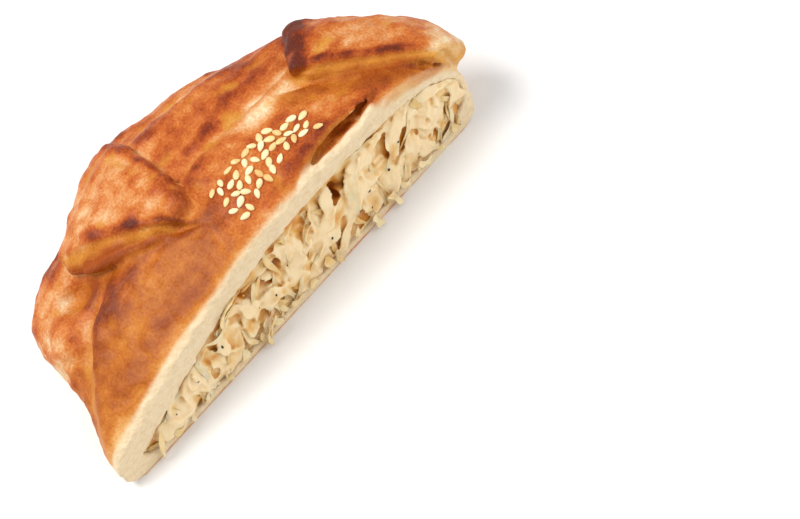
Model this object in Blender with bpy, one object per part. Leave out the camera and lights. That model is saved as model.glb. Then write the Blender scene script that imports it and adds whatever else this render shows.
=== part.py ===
"""Half of a round cabbage pastry, cut through the middle, lying on its flat base.

Two solids: the dough crust with its folded flaps and sesame seeds, and the cabbage filling that runs
through it and shows at the cut. X runs along the cut, Y from the cut into the pastry, Z up. Shapes are
worked out in millimetres and written to the meshes in metres.
"""

import math
import random
from dataclasses import dataclass
from functools import partial

import bmesh
import bpy
import numpy as np
from mathutils import Matrix, Vector, noise
from mathutils.bvhtree import BVHTree

MM = 0.001

# Driving dimensions of the pastry, in millimetres
HALF_LENGTH = 75.5
DEPTH = 66.0
CUT_Y = -2.3
CUT_LEAN = 0.125
ORIGIN_Y = 30.0
CROWN_HIGH = 38.5
CROWN_LOW = 12.0
CROWN_MID_X = -44.0
CROWN_SPREAD = 17.0
RIM_Z = 8.5
BASE_SHARE = 0.93
UNDER_SHARE = 0.7
DOME_POWER = 3.4
DOME_SPACING = 1.6
RELIEF_FADE = 0.75
CUT_ROLL_WIDTH = 6.0
CUT_ROLL_DROP = 2.6

# The dip behind the cut edge, beside the sesame, and the gap under the layer behind it
LEDGE_X = 28.0
LEDGE_Y = 1.8
LEDGE_HALF_LENGTH = 17.5
LEDGE_HALF_WIDTH = 5.4
LEDGE_ABOVE = 4.2
LEDGE_DEPTH = 5.0
POCKET_X = 30.0
POCKET_Y = 6.8
POCKET_HALF_LENGTH = 14.5
POCKET_HALF_WIDTH = 3.4
POCKET_ABOVE = 0.3
POCKET_HALF_HEIGHT = 1.5
POCKET_SLOPE = 0.35

# Dough thickness and the running gap between crust and filling
TOP_DOUGH = 5.6
TOP_THINNING = 2.2
TOP_THINNING_X = (38.0, 60.0)
BOTTOM_DOUGH = 2.6
WALL_DOUGH = 7.0
WALL_THINNING = 2.6
WALL_THINNING_COSINES = (0.80, 0.98)
HOLLOW_X = 2.0
HOLLOW_ROUNDING = 0.8
HOLLOW_WIDEST = 0.35
HOLLOW_FLOOR_SPREAD = 1.6
CEILING_RELIEF = 0.35
CEILING_ROLL = 0.5
FILLING_GAP = 0.35

# The folded-over middle layer's edge and the crease at the rim behind it
LAYER_STEP = 2.6
LAYER_EDGE = (-0.4, 3.0)
LAYER_GROWTH = 0.5
LAYER_GROWTH_X = (25.0, 45.0)
PETAL_Y = 34.0
PETAL_DROP = 23.0
PETAL_BEND_X = -35.0
PETAL_BEND = 36.0
PETAL_REACH = 1.2
CREASE_RADIUS = 57.5
CREASE_WIDTH = 1.6
CREASE_DEPTH = 1.6
CREASE_START = (70.0, 76.0)
CREASE_END = (90.0, 97.0)

# How flat a flap is between its edges and how round its edges are
SLAB_SPREAD = 0.5
SLAB_ROUNDING = 0.72
SLAB_LEAST = 0.1

# Fine unevenness of the dough
DOME_LUMPS = 0.9
DOME_LUMP_SIZE = 17.0
FLAP_LUMPS = 0.75
FLAP_LUMP_SIZE = 8.5

# Mesh resolution
DOME_SEGMENTS = 88
DOME_RINGS = 50
CAVITY_SEGMENTS = 36
CAVITY_RINGS = 14
FLAP_SEGMENTS = 26
FLAP_RINGS = 14

# Toppings and filling
SEED_COUNT = 48
SEED_LENGTH = 3.3
SEED_WIDTH = 2.0
SEED_THICKNESS = 1.1
SEED_SPACING = 2.6
SEED_PROUD = 0.13
SEED_BAND = (-5.0, 28.0)
SEED_BAND_Y = 14.5
SEED_BAND_BOW = 3.0
SEED_BAND_HALF_WIDTH = 7.0
SEED_BAND_TAPER = 2.5
SEED_TRIES = 6000
LEDGE_MARGIN = (1.0, 2.0)
ABOVE_ALL = 80.0
SHRED_COUNT = 46
SHRED_STATIONS = 5
SHRED_SPAN = (-58.0, 66.0)
SHRED_LENGTHS = (11.0, 20.0)
SHRED_WIDTH = 3.4
SHRED_THICKNESS = 1.3
SHRED_ROOT = 4.5
SHRED_BEND = 0.55
SHRED_ARCH = 1.15
SHRED_LEAN = 0.55
SHRED_NARROW = 0.55
SHRED_JITTER = 1.5
SHRED_LEVELS = (0.15, 0.9)
GOLDEN_SHARE = 0.618
FRONT_DEPTH = 2.0
FRONT_RELIEF = 2.2
FRONT_LUMP = 8.0
FRONT_CUTS = 9
# Corners of the boxes that cut the dough, hold the packed cabbage and trim the strips' ends
KNIFE = ((-120.0, -120.0, -20.0), (120.0, CUT_Y, 90.0))
BLOCK = ((-90.0, CUT_Y + FRONT_DEPTH, -5.0), (90.0, 90.0, 60.0))
ROOM = ((-70.0, -14.0, 0.5), (73.0, CUT_Y - FILLING_GAP, 45.0))

# Swellings of the rim outline: direction in degrees from +X, height, spread in degrees
RIM_SWELLS = (
    (143.0, 4.0, 9.0),
    (132.0, 5.0, 11.0),
    (95.0, 3.0, 7.0),
    (116.0, -1.5, 8.0),
    (163.0, -4.5, 11.0),
    (180.0, 0.6, 8.0),
    (2.0, -2.5, 14.0),
    (55.0, -1.5, 12.0),
)

# Swellings of the top: centre x, centre y, height, radius along x, radius along y
TOP_SWELLS = (
    (18.0, 47.0, 1.8, 11.0, 8.0),
    (-2.0, 19.0, 1.2, 14.0, 8.0),
    (-60.0, 33.0, 4.0, 12.0, 11.0),
    (-47.0, 41.0, -5.5, 5.0, 4.0),
    (46.0, 44.0, 3.0, 11.0, 9.0),
    (-56.0, 10.0, 1.6, 10.0, 6.0),
    (3.0, 52.0, 1.6, 9.0, 6.0),
    (28.0, 9.8, 1.2, 15.0, 3.2),
)


@dataclass(frozen=True)
class Flap:
    """A flap of dough folded over the top, in millimetres. Pairs are at the root and at the tip."""

    root: tuple
    tip: tuple
    root_side: tuple
    tip_side: tuple
    lift: tuple
    thickness: tuple
    below: tuple
    bow: float
    corners: float
    inset: float
    seed: int
    slope: float
    sag: float = 0.0
    least: float = 0.0


LEFT_FLAP = Flap(
    root=(-28.5, 59.0),
    tip=(-12.0, 22.5),
    root_side=(22.5, 10.5),
    tip_side=(4.4, 1.8),
    lift=(1.6, 3.0),
    thickness=(3.8, 4.8),
    below=(7.0, 0.0),
    bow=-2.5,
    corners=3.4,
    inset=0.94,
    seed=4,
    slope=0.24,
)
RIGHT_FLAP = Flap(
    root=(78.5, 4.0),
    tip=(41.0, 36.0),
    root_side=(5.5, 8.0),
    tip_side=(8.0, 10.0),
    lift=(0.6, 3.6),
    thickness=(4.6, 4.8),
    below=(15.0, 0.0),
    bow=0.0,
    corners=4.0,
    inset=0.9,
    seed=9,
    slope=0.22,
    sag=2.4,
    least=18.0,
)


def smooth(low, high, value):
    """0 below low, 1 above high and a smooth rise between them."""
    t = np.clip((value - low) / (high - low), 0.0, 1.0)
    return t * t * (3.0 - 2.0 * t)


def lumps(x, y, z, size, seed):
    """Even noise from -1 to 1 with bumps about `size` millimetres wide."""
    shift = Vector((seed * 13.7, seed * 7.1, seed * 3.3))
    values = [noise.noise(Vector(p) / size + shift) for p in zip(x, y, z)]
    return np.array(values)


def rim_radius(angle):
    """Outline radius of the round pastry in the direction `angle`, in radians from +X."""
    radius = 1.0 / np.sqrt((np.cos(angle) / HALF_LENGTH) ** 2 + (np.sin(angle) / DEPTH) ** 2)
    for middle, height, spread in RIM_SWELLS:
        away = np.abs((np.degrees(angle) - middle + 180.0) % 360.0 - 180.0)
        radius = radius + height * np.exp(-((away / spread) ** 2))
    return radius


def crown_height(x):
    """Height of the top dough, which slopes down towards the -X end."""
    return CROWN_LOW + (CROWN_HIGH - CROWN_LOW) / (1.0 + np.exp(-(x - CROWN_MID_X) / CROWN_SPREAD))


def dome_height(x, y):
    """Height of the plain dome, without folds, above the base."""
    share = np.clip(np.hypot(x, y) / rim_radius(np.arctan2(y, x)), 0.0, 1.0)
    edge = (1.0 - share**DOME_POWER) ** (1.0 / DOME_POWER)
    return RIM_Z + (crown_height(x) - RIM_Z) * edge


def petal_edge(x):
    """Y of the far edge of the folded-over middle layer, which carries the sesame."""
    away = np.clip((PETAL_BEND_X - x) / PETAL_BEND, 0.0, PETAL_REACH)
    return PETAL_Y - PETAL_DROP * away**2


def top_relief(x, y):
    """What the folds and swellings add to the top, in millimetres."""
    step = LAYER_STEP * smooth(*LAYER_EDGE, petal_edge(x) - y)
    step = step * (1.0 + LAYER_GROWTH * smooth(*LAYER_GROWTH_X, -x))
    turn = np.degrees(np.arctan2(y, x))
    crease = np.exp(-(((np.hypot(x, y) - CREASE_RADIUS) / CREASE_WIDTH) ** 2))
    crease = crease * smooth(*CREASE_START, turn) * (1.0 - smooth(*CREASE_END, turn))
    relief = step - CREASE_DEPTH * crease
    for cx, cy, height, rx, ry in TOP_SWELLS:
        relief = relief + height * np.exp(-(((x - cx) / rx) ** 2) - (((y - cy) / ry) ** 2))
    return relief


def cut_roll(x, y):
    """How far the top dough rounds over where the knife pressed it down."""
    t = np.clip((y - CUT_Y - CUT_LEAN * crown_height(x)) / CUT_ROLL_WIDTH, 0.0, 1.0)
    return CUT_ROLL_DROP * (1.0 - np.sqrt(1.0 - (1.0 - t) ** 2))


def outer_points(unit):
    """The crust's outer surface, from points on the unit sphere: folds on top and a flat base."""
    angle = np.arctan2(unit[:, 1], unit[:, 0])
    turn = np.arcsin(np.clip(unit[:, 2], -1.0, 1.0)) / (math.pi / 2.0)
    above = 1.0 - np.clip(turn, 0.0, 1.0) ** DOME_SPACING
    under = np.clip(-turn / UNDER_SHARE, 0.0, 1.0)
    curl = BASE_SHARE + (1.0 - BASE_SHARE) * np.sqrt(1.0 - under**2)
    flat = BASE_SHARE * (1.0 + turn) / (1.0 - UNDER_SHARE)
    share = np.where(turn >= 0.0, above, np.where(turn > -UNDER_SHARE, curl, flat))
    radius = rim_radius(angle) * share
    x = radius * np.cos(angle)
    y = radius * np.sin(angle)
    top = dome_height(x, y)
    edge = (top - RIM_Z) / (crown_height(x) - RIM_Z)
    relief = top_relief(x, y) - cut_roll(x, y) + DOME_LUMPS * lumps(x, y, top, DOME_LUMP_SIZE, 1)
    z = np.where(turn >= 0.0, top + relief * smooth(0.0, RELIEF_FADE, edge), RIM_Z * (1.0 - under))
    return np.stack([x, y, np.maximum(z, 0.0)], axis=1)


def cavity_points(unit, gap=0.0):
    """The hollow inside the dough, or the filling's outside when gap is taken off it."""
    angle = np.arctan2(unit[:, 1], unit[:, 0])
    rise = unit[:, 2]
    share = np.sqrt(np.clip(1.0 - rise**2, 0.0, 1.0)) ** HOLLOW_ROUNDING
    wall = WALL_DOUGH - WALL_THINNING * smooth(*WALL_THINNING_COSINES, np.cos(angle))
    reach = rim_radius(angle) - wall - gap
    x = reach * share * np.cos(angle) + HOLLOW_X
    y = reach * share * np.sin(angle)
    top_dough = TOP_DOUGH - TOP_THINNING * smooth(*TOP_THINNING_X, x)
    ceiling = crown_height(x) - top_dough - gap
    ceiling = ceiling + CEILING_RELIEF * top_relief(x, y) - CEILING_ROLL * cut_roll(x, y)
    floor = BOTTOM_DOUGH + gap
    middle = floor + HOLLOW_WIDEST * (ceiling - floor)
    up = middle + (ceiling - middle) * np.abs(rise) ** HOLLOW_ROUNDING
    down = middle - (middle - floor) * np.minimum(1.0, HOLLOW_FLOOR_SPREAD * np.abs(rise))
    return np.stack([x, y, np.where(rise >= 0.0, up, down)], axis=1)


def placed(points):
    """Points in millimetres from the cut's middle, as mesh points in metres from the base's middle."""
    moved = np.array(points, float)
    moved[:, 1] -= ORIGIN_Y
    return moved * MM


def shaped_sphere(name, segments, rings, shape, collection):
    """A sphere primitive whose points are moved to `shape`, as one closed object."""
    mesh = bpy.data.meshes.new(name)
    bm = bmesh.new()
    bmesh.ops.create_uvsphere(bm, u_segments=segments, v_segments=rings, radius=1.0)
    unit = np.array([v.co[:] for v in bm.verts])
    for vertex, point in zip(bm.verts, placed(shape(unit))):
        vertex.co = point
    bmesh.ops.recalc_face_normals(bm, faces=bm.faces)
    bm.to_mesh(mesh)
    bm.free()
    obj = bpy.data.objects.new(name, mesh)
    collection.objects.link(obj)
    return obj


def new_collection(name):
    """A collection linked to the scene."""
    collection = bpy.data.collections.new(name)
    bpy.context.scene.collection.children.link(collection)
    return collection


def combine(obj, collection, operation, solver="EXACT"):
    """Applies one Boolean between obj and everything in the collection, then removes those objects."""
    modifier = obj.modifiers.new(operation.lower(), "BOOLEAN")
    modifier.operand_type = "COLLECTION"
    modifier.collection = collection
    modifier.operation = operation
    modifier.solver = solver
    graph = bpy.context.evaluated_depsgraph_get()
    mesh = bpy.data.meshes.new_from_object(obj.evaluated_get(graph))
    obj.modifiers.clear()
    obj.data = mesh
    for other in list(collection.objects):
        bpy.data.objects.remove(other)
    bpy.data.collections.remove(collection)


def leaning_box(name, low, high, collection):
    """A box between two corners in millimetres, sheared to lean back as the cut does."""
    low, high = placed([low])[0], placed([high])[0]
    mesh = bpy.data.meshes.new(name)
    bm = bmesh.new()
    size = Matrix.Diagonal((*(high - low), 1.0))
    bmesh.ops.create_cube(bm, size=1.0, matrix=Matrix.Translation((low + high) / 2) @ size)
    for vertex in bm.verts:
        vertex.co.y += CUT_LEAN * vertex.co.z
    bm.to_mesh(mesh)
    bm.free()
    obj = bpy.data.objects.new(name, mesh)
    collection.objects.link(obj)
    return obj


def slab(unit, corners):
    """Spreads points of the unit sphere over a rounded slab with square corners.

    Returns the place along and across the slab, each from -1 to 1, and up its thickness.
    """
    flat = np.maximum(np.hypot(unit[:, 0], unit[:, 1]), 1e-6)
    along, across = unit[:, 0] / flat, unit[:, 1] / flat
    square = np.maximum((np.abs(along) ** corners + np.abs(across) ** corners) ** (1.0 / corners), SLAB_LEAST)
    spread = np.minimum(flat, 1.0) ** SLAB_SPREAD
    up = np.sign(unit[:, 2]) * np.abs(unit[:, 2]) ** SLAB_ROUNDING
    return spread * along / square, spread * across / square, up


def flap_points(unit, flap):
    """A folded flap of dough that follows the dome from its root to its raised tip."""
    along, across, up = slab(unit, flap.corners)
    narrow = 1.0 - flap.slope * np.maximum(up, 0.0)
    across = across * narrow
    reach = (1.0 - along * narrow) / 2.0

    def between(ends):
        """The value at the root, the tip or between them."""
        return ends[0] + (ends[1] - ends[0]) * reach

    bow = flap.bow * np.sin(math.pi * reach) * (across < 0.0) * across**2
    x = between((flap.root[0], flap.tip[0])) + between((flap.root_side[0], flap.tip_side[0])) * across
    y = between((flap.root[1], flap.tip[1])) + between((flap.root_side[1], flap.tip_side[1])) * across + bow
    thickness = between(flap.thickness) + between(flap.below) * (up < 0.0)
    level = np.maximum(dome_height(x * flap.inset, y * flap.inset), flap.least)
    z = level + between(flap.lift) + thickness * up
    z = z - flap.sag * np.sin(math.pi * reach) * np.maximum(up, 0.0)
    return np.stack([x, y, z + FLAP_LUMPS * lumps(x, y, z, FLAP_LUMP_SIZE, flap.seed)], axis=1)


def ledge_cutter(unit):
    """The dip between the cut edge and the front edge of the middle layer."""
    x = LEDGE_X + LEDGE_HALF_LENGTH * unit[:, 0]
    y = LEDGE_Y + LEDGE_HALF_WIDTH * unit[:, 1]
    z = crown_height(x) + LEDGE_ABOVE + LEDGE_DEPTH * unit[:, 2]
    return np.stack([x, y, z], axis=1)


def pocket_cutter(unit):
    """The gap that runs on from the dip, under the middle layer."""
    x = POCKET_X + POCKET_HALF_LENGTH * unit[:, 0]
    y = POCKET_Y + POCKET_HALF_WIDTH * unit[:, 1]
    z = crown_height(x) + POCKET_ABOVE + POCKET_HALF_HEIGHT * unit[:, 2] - POCKET_SLOPE * (y - POCKET_Y)
    return np.stack([x, y, z], axis=1)


def seed_places(surface):
    """Points and normals on the top of the middle layer, in an uneven band beside the cut."""
    draw = random.Random(21)
    found = []
    tries = 0
    while len(found) < SEED_COUNT and tries < SEED_TRIES:
        tries += 1
        along = draw.random()
        x = SEED_BAND[0] + (SEED_BAND[1] - SEED_BAND[0]) * along
        middle = SEED_BAND_Y + SEED_BAND_BOW * math.sin(math.pi * along)
        y = middle + (SEED_BAND_HALF_WIDTH - SEED_BAND_TAPER * along) * draw.uniform(-1.0, 1.0)
        start = Vector(placed([(x, y, ABOVE_ALL)])[0])
        hit, normal, _, _ = surface.ray_cast(start, Vector((0.0, 0.0, -1.0)))
        near = (other for other, _ in found if (other - hit).length < SEED_SPACING * MM)
        off_x = (x - LEDGE_X) / (LEDGE_HALF_LENGTH + LEDGE_MARGIN[0])
        off_y = (y - LEDGE_Y) / (LEDGE_HALF_WIDTH + LEDGE_MARGIN[1])
        on_ledge = math.hypot(off_x, off_y) < 1.0
        if hit is None or on_ledge or any(near):
            continue
        found.append((hit, normal))
    return found


def add_seeds(crust, collection):
    """Sesame seeds, each sunk a little into the top of the crust."""
    bm = bmesh.new()
    bm.from_mesh(crust.data)
    surface = BVHTree.FromBMesh(bm)
    bm.free()
    draw = random.Random(5)
    for index, (hit, normal) in enumerate(seed_places(surface)):
        mesh = bpy.data.meshes.new(f"seed_{index}")
        bm = bmesh.new()
        bmesh.ops.create_uvsphere(bm, u_segments=5, v_segments=4, radius=0.5)
        sizes = Vector((SEED_LENGTH, SEED_WIDTH, SEED_THICKNESS)) * MM
        turn = Matrix.Rotation(draw.uniform(0.0, math.pi), 4, "Z")
        lie = normal.to_track_quat("Z", "Y").to_matrix().to_4x4()
        place = Matrix.Translation(hit + normal * SEED_PROUD * MM)
        bmesh.ops.transform(bm, matrix=place @ lie @ turn @ Matrix.Diagonal((*sizes, 1.0)), verts=bm.verts)
        bm.to_mesh(mesh)
        bm.free()
        collection.objects.link(bpy.data.objects.new(mesh.name, mesh))


def strip_object(name, path, widths, thickness, sides, collection):
    """A flat strip along `path`, with `sides` giving the direction across it at each point."""
    mesh = bpy.data.meshes.new(name)
    bm = bmesh.new()
    rings = []
    for index, point in enumerate(path):
        ahead = path[min(index + 1, len(path) - 1)] - path[max(index - 1, 0)]
        across = sides[index] - ahead * (sides[index].dot(ahead) / ahead.length_squared)
        across.normalize()
        out = ahead.cross(across).normalized()
        corners = ((1, 1), (-1, 1), (-1, -1), (1, -1))
        ring = [point + across * (widths[index] / 2 * a) + out * (thickness / 2 * b) for a, b in corners]
        rings.append([bm.verts.new(corner * MM) for corner in ring])
    for first, second in zip(rings, rings[1:]):
        for k in range(4):
            bm.faces.new((first[k], first[(k + 1) % 4], second[(k + 1) % 4], second[k]))
    bm.faces.new(rings[0])
    bm.faces.new(rings[-1])
    bmesh.ops.recalc_face_normals(bm, faces=bm.faces)
    bm.to_mesh(mesh)
    bm.free()
    collection.objects.link(bpy.data.objects.new(name, mesh))


def add_shreds(collection):
    """Cabbage strips that start inside the filling and curl out of the cut face."""
    draw = random.Random(34)
    for index in range(SHRED_COUNT):
        along = (index + 0.5) / SHRED_COUNT
        x = SHRED_SPAN[0] + (SHRED_SPAN[1] - SHRED_SPAN[0]) * along
        x += draw.uniform(-SHRED_JITTER, SHRED_JITTER)
        ceiling = float(crown_height(x)) - TOP_DOUGH - 0.5 * CUT_ROLL_DROP
        low, high = SHRED_LEVELS
        share = low + (high - low) * ((index * GOLDEN_SHARE) % 1.0)
        level = BOTTOM_DOUGH + share * (ceiling - BOTTOM_DOUGH)
        point = Vector((x, CUT_Y + CUT_LEAN * level + SHRED_ROOT - ORIGIN_Y, level))
        heading = draw.uniform(0.0, 2.0 * math.pi)
        length = draw.uniform(*SHRED_LENGTHS)
        bend = draw.uniform(-SHRED_BEND, SHRED_BEND)
        step = length / (SHRED_STATIONS - 1)
        path, sides, widths = [], [], []
        for station in range(SHRED_STATIONS):
            share = station / (SHRED_STATIONS - 1)
            path.append(point.copy())
            sides.append(Vector((-math.sin(heading), SHRED_LEAN, math.cos(heading))))
            swell = math.sin(math.pi * min(share + SHRED_LEVELS[0], SHRED_LEVELS[1]))
            widths.append(SHRED_WIDTH * (SHRED_NARROW + (1.0 - SHRED_NARROW) * swell))
            outward = -SHRED_ARCH * math.cos(math.pi * share)
            flow = Vector((math.cos(heading), outward, math.sin(heading))).normalized()
            point += flow * step
            heading += bend
        strip_object(f"shred_{index}", path, widths, SHRED_THICKNESS, sides, collection)


def filling_points(unit):
    """The hollow less the gap all round."""
    return cavity_points(unit, FILLING_GAP)


def uneven_block(name, collection):
    """A block behind the cut whose front face is as uneven as packed cabbage."""
    block = leaning_box(name, *BLOCK, collection)
    bm = bmesh.new()
    bm.from_mesh(block.data)
    bmesh.ops.subdivide_edges(bm, edges=bm.edges, cuts=FRONT_CUTS, use_grid_fill=True)
    front = min(v.co.y - CUT_LEAN * v.co.z for v in bm.verts)
    for vertex in bm.verts:
        if vertex.co.y - CUT_LEAN * vertex.co.z < front + 0.1 * MM:
            where = Vector((vertex.co.x, 0.0, vertex.co.z)) / (FRONT_LUMP * MM)
            vertex.co.y += FRONT_RELIEF * MM * noise.noise(where)
    bm.to_mesh(block.data)
    bm.free()
    return block


def material(name, colour, roughness):
    """A Principled material with a plain colour."""
    made = bpy.data.materials.new(name)
    made.use_nodes = True
    shader = made.node_tree.nodes["Principled BSDF"]
    shader.inputs["Base Color"].default_value = (*colour, 1.0)
    shader.inputs["Roughness"].default_value = roughness
    made.diffuse_color = (*colour, 1.0)
    return made


def keep_main_body(obj):
    """Drops loose scraps and the walls of sealed hollows, which fills them."""
    bm = bmesh.new()
    bm.from_mesh(obj.data)
    left = set(bm.faces)
    largest = set()
    while left:
        queue = [left.pop()]
        body = set(queue)
        while queue:
            for edge in queue.pop().edges:
                beside = [face for face in edge.link_faces if face in left and len(edge.link_faces) == 2]
                left.difference_update(beside)
                body.update(beside)
                queue.extend(beside)
        if len(body) > len(largest):
            largest = body
    bmesh.ops.delete(bm, geom=[face for face in bm.faces if face not in largest], context="FACES")
    bm.to_mesh(obj.data)
    bm.free()


def finish(obj, made, home):
    """Makes obj one body with its material and smooth shading, in the pastry's collection."""
    keep_main_body(obj)
    obj.data.materials.clear()
    obj.data.materials.append(made)
    for collection in obj.users_collection:
        collection.objects.unlink(obj)
    home.objects.link(obj)
    obj.data.shade_smooth()
    obj.data.set_sharp_from_angle(angle=math.radians(50.0))


def build_crust(home):
    """The dough: dome and flaps joined, halved by the knife, hollowed, with the seeds on top."""
    crust = shaped_sphere("crust", DOME_SEGMENTS, DOME_RINGS, outer_points, home)
    flaps = new_collection("flaps")
    for name, flap in (("left_flap", LEFT_FLAP), ("right_flap", RIGHT_FLAP)):
        shaped_sphere(name, FLAP_SEGMENTS, FLAP_RINGS, partial(flap_points, flap=flap), flaps)
    combine(crust, flaps, "UNION")
    cutters = new_collection("cutters")
    leaning_box("knife", *KNIFE, cutters)
    shaped_sphere("hollow", CAVITY_SEGMENTS, CAVITY_RINGS, cavity_points, cutters)
    shaped_sphere("ledge", 32, 14, ledge_cutter, cutters)
    shaped_sphere("pocket", 24, 10, pocket_cutter, cutters)
    combine(crust, cutters, "DIFFERENCE")
    seeds = new_collection("seeds")
    add_seeds(crust, seeds)
    combine(crust, seeds, "UNION")
    finish(crust, material("baked dough", (0.80, 0.42, 0.17), 0.45), home)
    return crust


def build_filling(home):
    """The cabbage: a packed core with strips fused on where it shows at the cut."""
    filling = shaped_sphere("cabbage_filling", CAVITY_SEGMENTS, CAVITY_RINGS, filling_points, home)
    blocks = new_collection("blocks")
    uneven_block("block", blocks)
    combine(filling, blocks, "INTERSECT")
    shreds = new_collection("shreds")
    add_shreds(shreds)
    combine(filling, shreds, "UNION", "MANIFOLD")
    keep_main_body(filling)
    trim = new_collection("trim")
    room = leaning_box("room", *ROOM, trim)
    inside = new_collection("inside")
    shaped_sphere("inside", CAVITY_SEGMENTS, CAVITY_RINGS, filling_points, inside)
    combine(room, inside, "UNION")
    combine(filling, trim, "INTERSECT", "MANIFOLD")
    finish(filling, material("stewed cabbage", (0.86, 0.74, 0.47), 0.4), home)
    return filling


def main():
    """Clears the scene and builds the two pieces."""
    for obj in list(bpy.data.objects):
        bpy.data.objects.remove(obj)
    home = new_collection("cabbage_pastry")
    build_crust(home)
    build_filling(home)


main()
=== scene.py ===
"""Looks of half a round cabbage pastry: baked crust, folded flaps, sesame and shredded cabbage.

Every shape is worked out in millimetres from the middle of the cut, with X along the cut, Y into
the pastry and Z up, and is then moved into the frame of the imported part, in metres.
"""

import logging
import math
import random
from dataclasses import dataclass, field
from enum import Enum
from functools import partial
from typing import Any, Callable, Optional, Sequence, Union

import bmesh
import bpy
import numpy as np
from mathutils import Matrix, Vector, noise
from mathutils.bvhtree import BVHTree


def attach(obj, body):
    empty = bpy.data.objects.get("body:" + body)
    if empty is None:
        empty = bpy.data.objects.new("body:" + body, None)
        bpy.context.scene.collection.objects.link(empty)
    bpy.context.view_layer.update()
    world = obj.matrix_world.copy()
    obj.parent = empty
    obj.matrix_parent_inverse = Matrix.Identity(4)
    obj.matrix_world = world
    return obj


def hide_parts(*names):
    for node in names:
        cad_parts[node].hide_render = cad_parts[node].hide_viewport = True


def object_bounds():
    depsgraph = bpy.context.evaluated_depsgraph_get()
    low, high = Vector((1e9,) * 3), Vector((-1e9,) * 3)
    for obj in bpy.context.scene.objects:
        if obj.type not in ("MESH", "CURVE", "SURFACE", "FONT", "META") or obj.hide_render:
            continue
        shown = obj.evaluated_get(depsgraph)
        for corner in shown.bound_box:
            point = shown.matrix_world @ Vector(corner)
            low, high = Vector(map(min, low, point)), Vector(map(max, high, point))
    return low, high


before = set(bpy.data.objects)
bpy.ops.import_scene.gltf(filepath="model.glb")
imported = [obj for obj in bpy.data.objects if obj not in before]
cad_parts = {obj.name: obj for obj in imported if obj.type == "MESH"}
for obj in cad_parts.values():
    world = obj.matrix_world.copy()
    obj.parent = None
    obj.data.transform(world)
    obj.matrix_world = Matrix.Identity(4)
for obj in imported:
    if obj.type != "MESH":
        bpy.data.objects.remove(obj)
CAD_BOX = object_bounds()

LOG = logging.getLogger("cabbage_pastry")
MM = 0.001
ORIGIN_Y = 30.0
BODY = "root"

Pair = tuple[float, float]
Array = np.ndarray
Thing = bpy.types.Object
Mesh = bpy.types.Mesh
Material = bpy.types.Material
Tree = bpy.types.NodeTree


class Join(Enum):
    """How one closed mesh is combined with others."""

    UNION = "UNION"
    DIFFERENCE = "DIFFERENCE"
    INTERSECT = "INTERSECT"


class Cut(Enum):
    """The two ways the cabbage was cut before it was stewed."""

    STRIP = "strip"
    LEAF = "leaf"


# Small helpers


def smooth(low: float, high: float, value: Array) -> Array:
    """A smooth step.

    Args:
        low: where it starts.
        high: where it ends.
        value: the numbers.

    Returns:
        0 below low, 1 above high and a smooth rise between them.
    """
    t = np.clip((value - low) / (high - low), 0.0, 1.0)
    return t * t * (3.0 - 2.0 * t)


def fade(low: float, high: float, value: Array) -> Array:
    """1 below low, 0 above high and a smooth fall between them."""
    return 1.0 - smooth(low, high, value)


def ridge(value: Array, middle: float, width: float) -> Array:
    """1 at the middle and less on both sides of it."""
    return np.exp(-(((value - middle) / width) ** 2))


def lumps(points: Array, size: float, seed: float) -> Array:
    """Even noise.

    Args:
        points: places in millimetres, one row each.
        size: width of the bumps in millimetres.
        seed: which noise.

    Returns:
        A value from -1 to 1 for each place.
    """
    shift = np.array((seed * 13.7, seed * 7.1, seed * 3.3))
    return np.array([noise.noise(p) for p in (points / size + shift).tolist()])


def uneven(points: Array, noises: Sequence[tuple[float, float, float]]) -> Array:
    """The sum of noises, each with its height, width and seed."""
    return sum(height * lumps(points, size, seed) for height, size, seed in noises)


def hills(x: Array, y: Array, spots: Sequence[Sequence[float]]) -> Array:
    """The sum of round hills, each with its centre, two radii and height."""
    return sum(spot[4] * bump_at(x, y, spot) for spot in spots)


def bump_at(x: Array, y: Array, spot: Sequence[float]) -> Array:
    """A round hill of height 1 at spot's x and y, as wide as its two radii."""
    return np.exp(-(((x - spot[0]) / spot[2]) ** 2) - (((y - spot[1]) / spot[3]) ** 2))


def placed(points: Array) -> Array:
    """Moves points into the part's frame.

    Args:
        points: in millimetres from the cut's middle.

    Returns:
        Points in metres.
    """
    moved = np.array(points, float)
    moved[:, 1] -= ORIGIN_Y
    return moved * MM


def unplaced(points: Array) -> Array:
    """Moves points out of the part's frame.

    Args:
        points: in metres.

    Returns:
        Points in millimetres from the cut's middle.
    """
    moved = np.array(points, float) / MM
    moved[:, 1] += ORIGIN_Y
    return moved


def linear(colour: str) -> tuple[float, float, float, float]:
    """An sRGB hex colour as linear numbers.

    Args:
        colour: such as "#ffffff".

    Returns:
        Red, green, blue and 1.
    """
    parts = [int(colour[i : i + 2], 16) / 255.0 for i in (1, 3, 5)]
    made = [c / 12.92 if c <= 0.04045 else ((c + 0.055) / 1.055) ** 2.4 for c in parts]
    return (*made, 1.0)


def feed(node: bpy.types.Node, inputs: dict) -> None:
    """Gives a node its inputs.

    Args:
        node: the node.
        inputs: a value or a socket to link, for each input by name or number.
    """
    for key, value in inputs.items():
        if isinstance(value, bpy.types.NodeSocket):
            node.id_data.links.new(value, node.inputs[key])
        else:
            node.inputs[key].default_value = value


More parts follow.
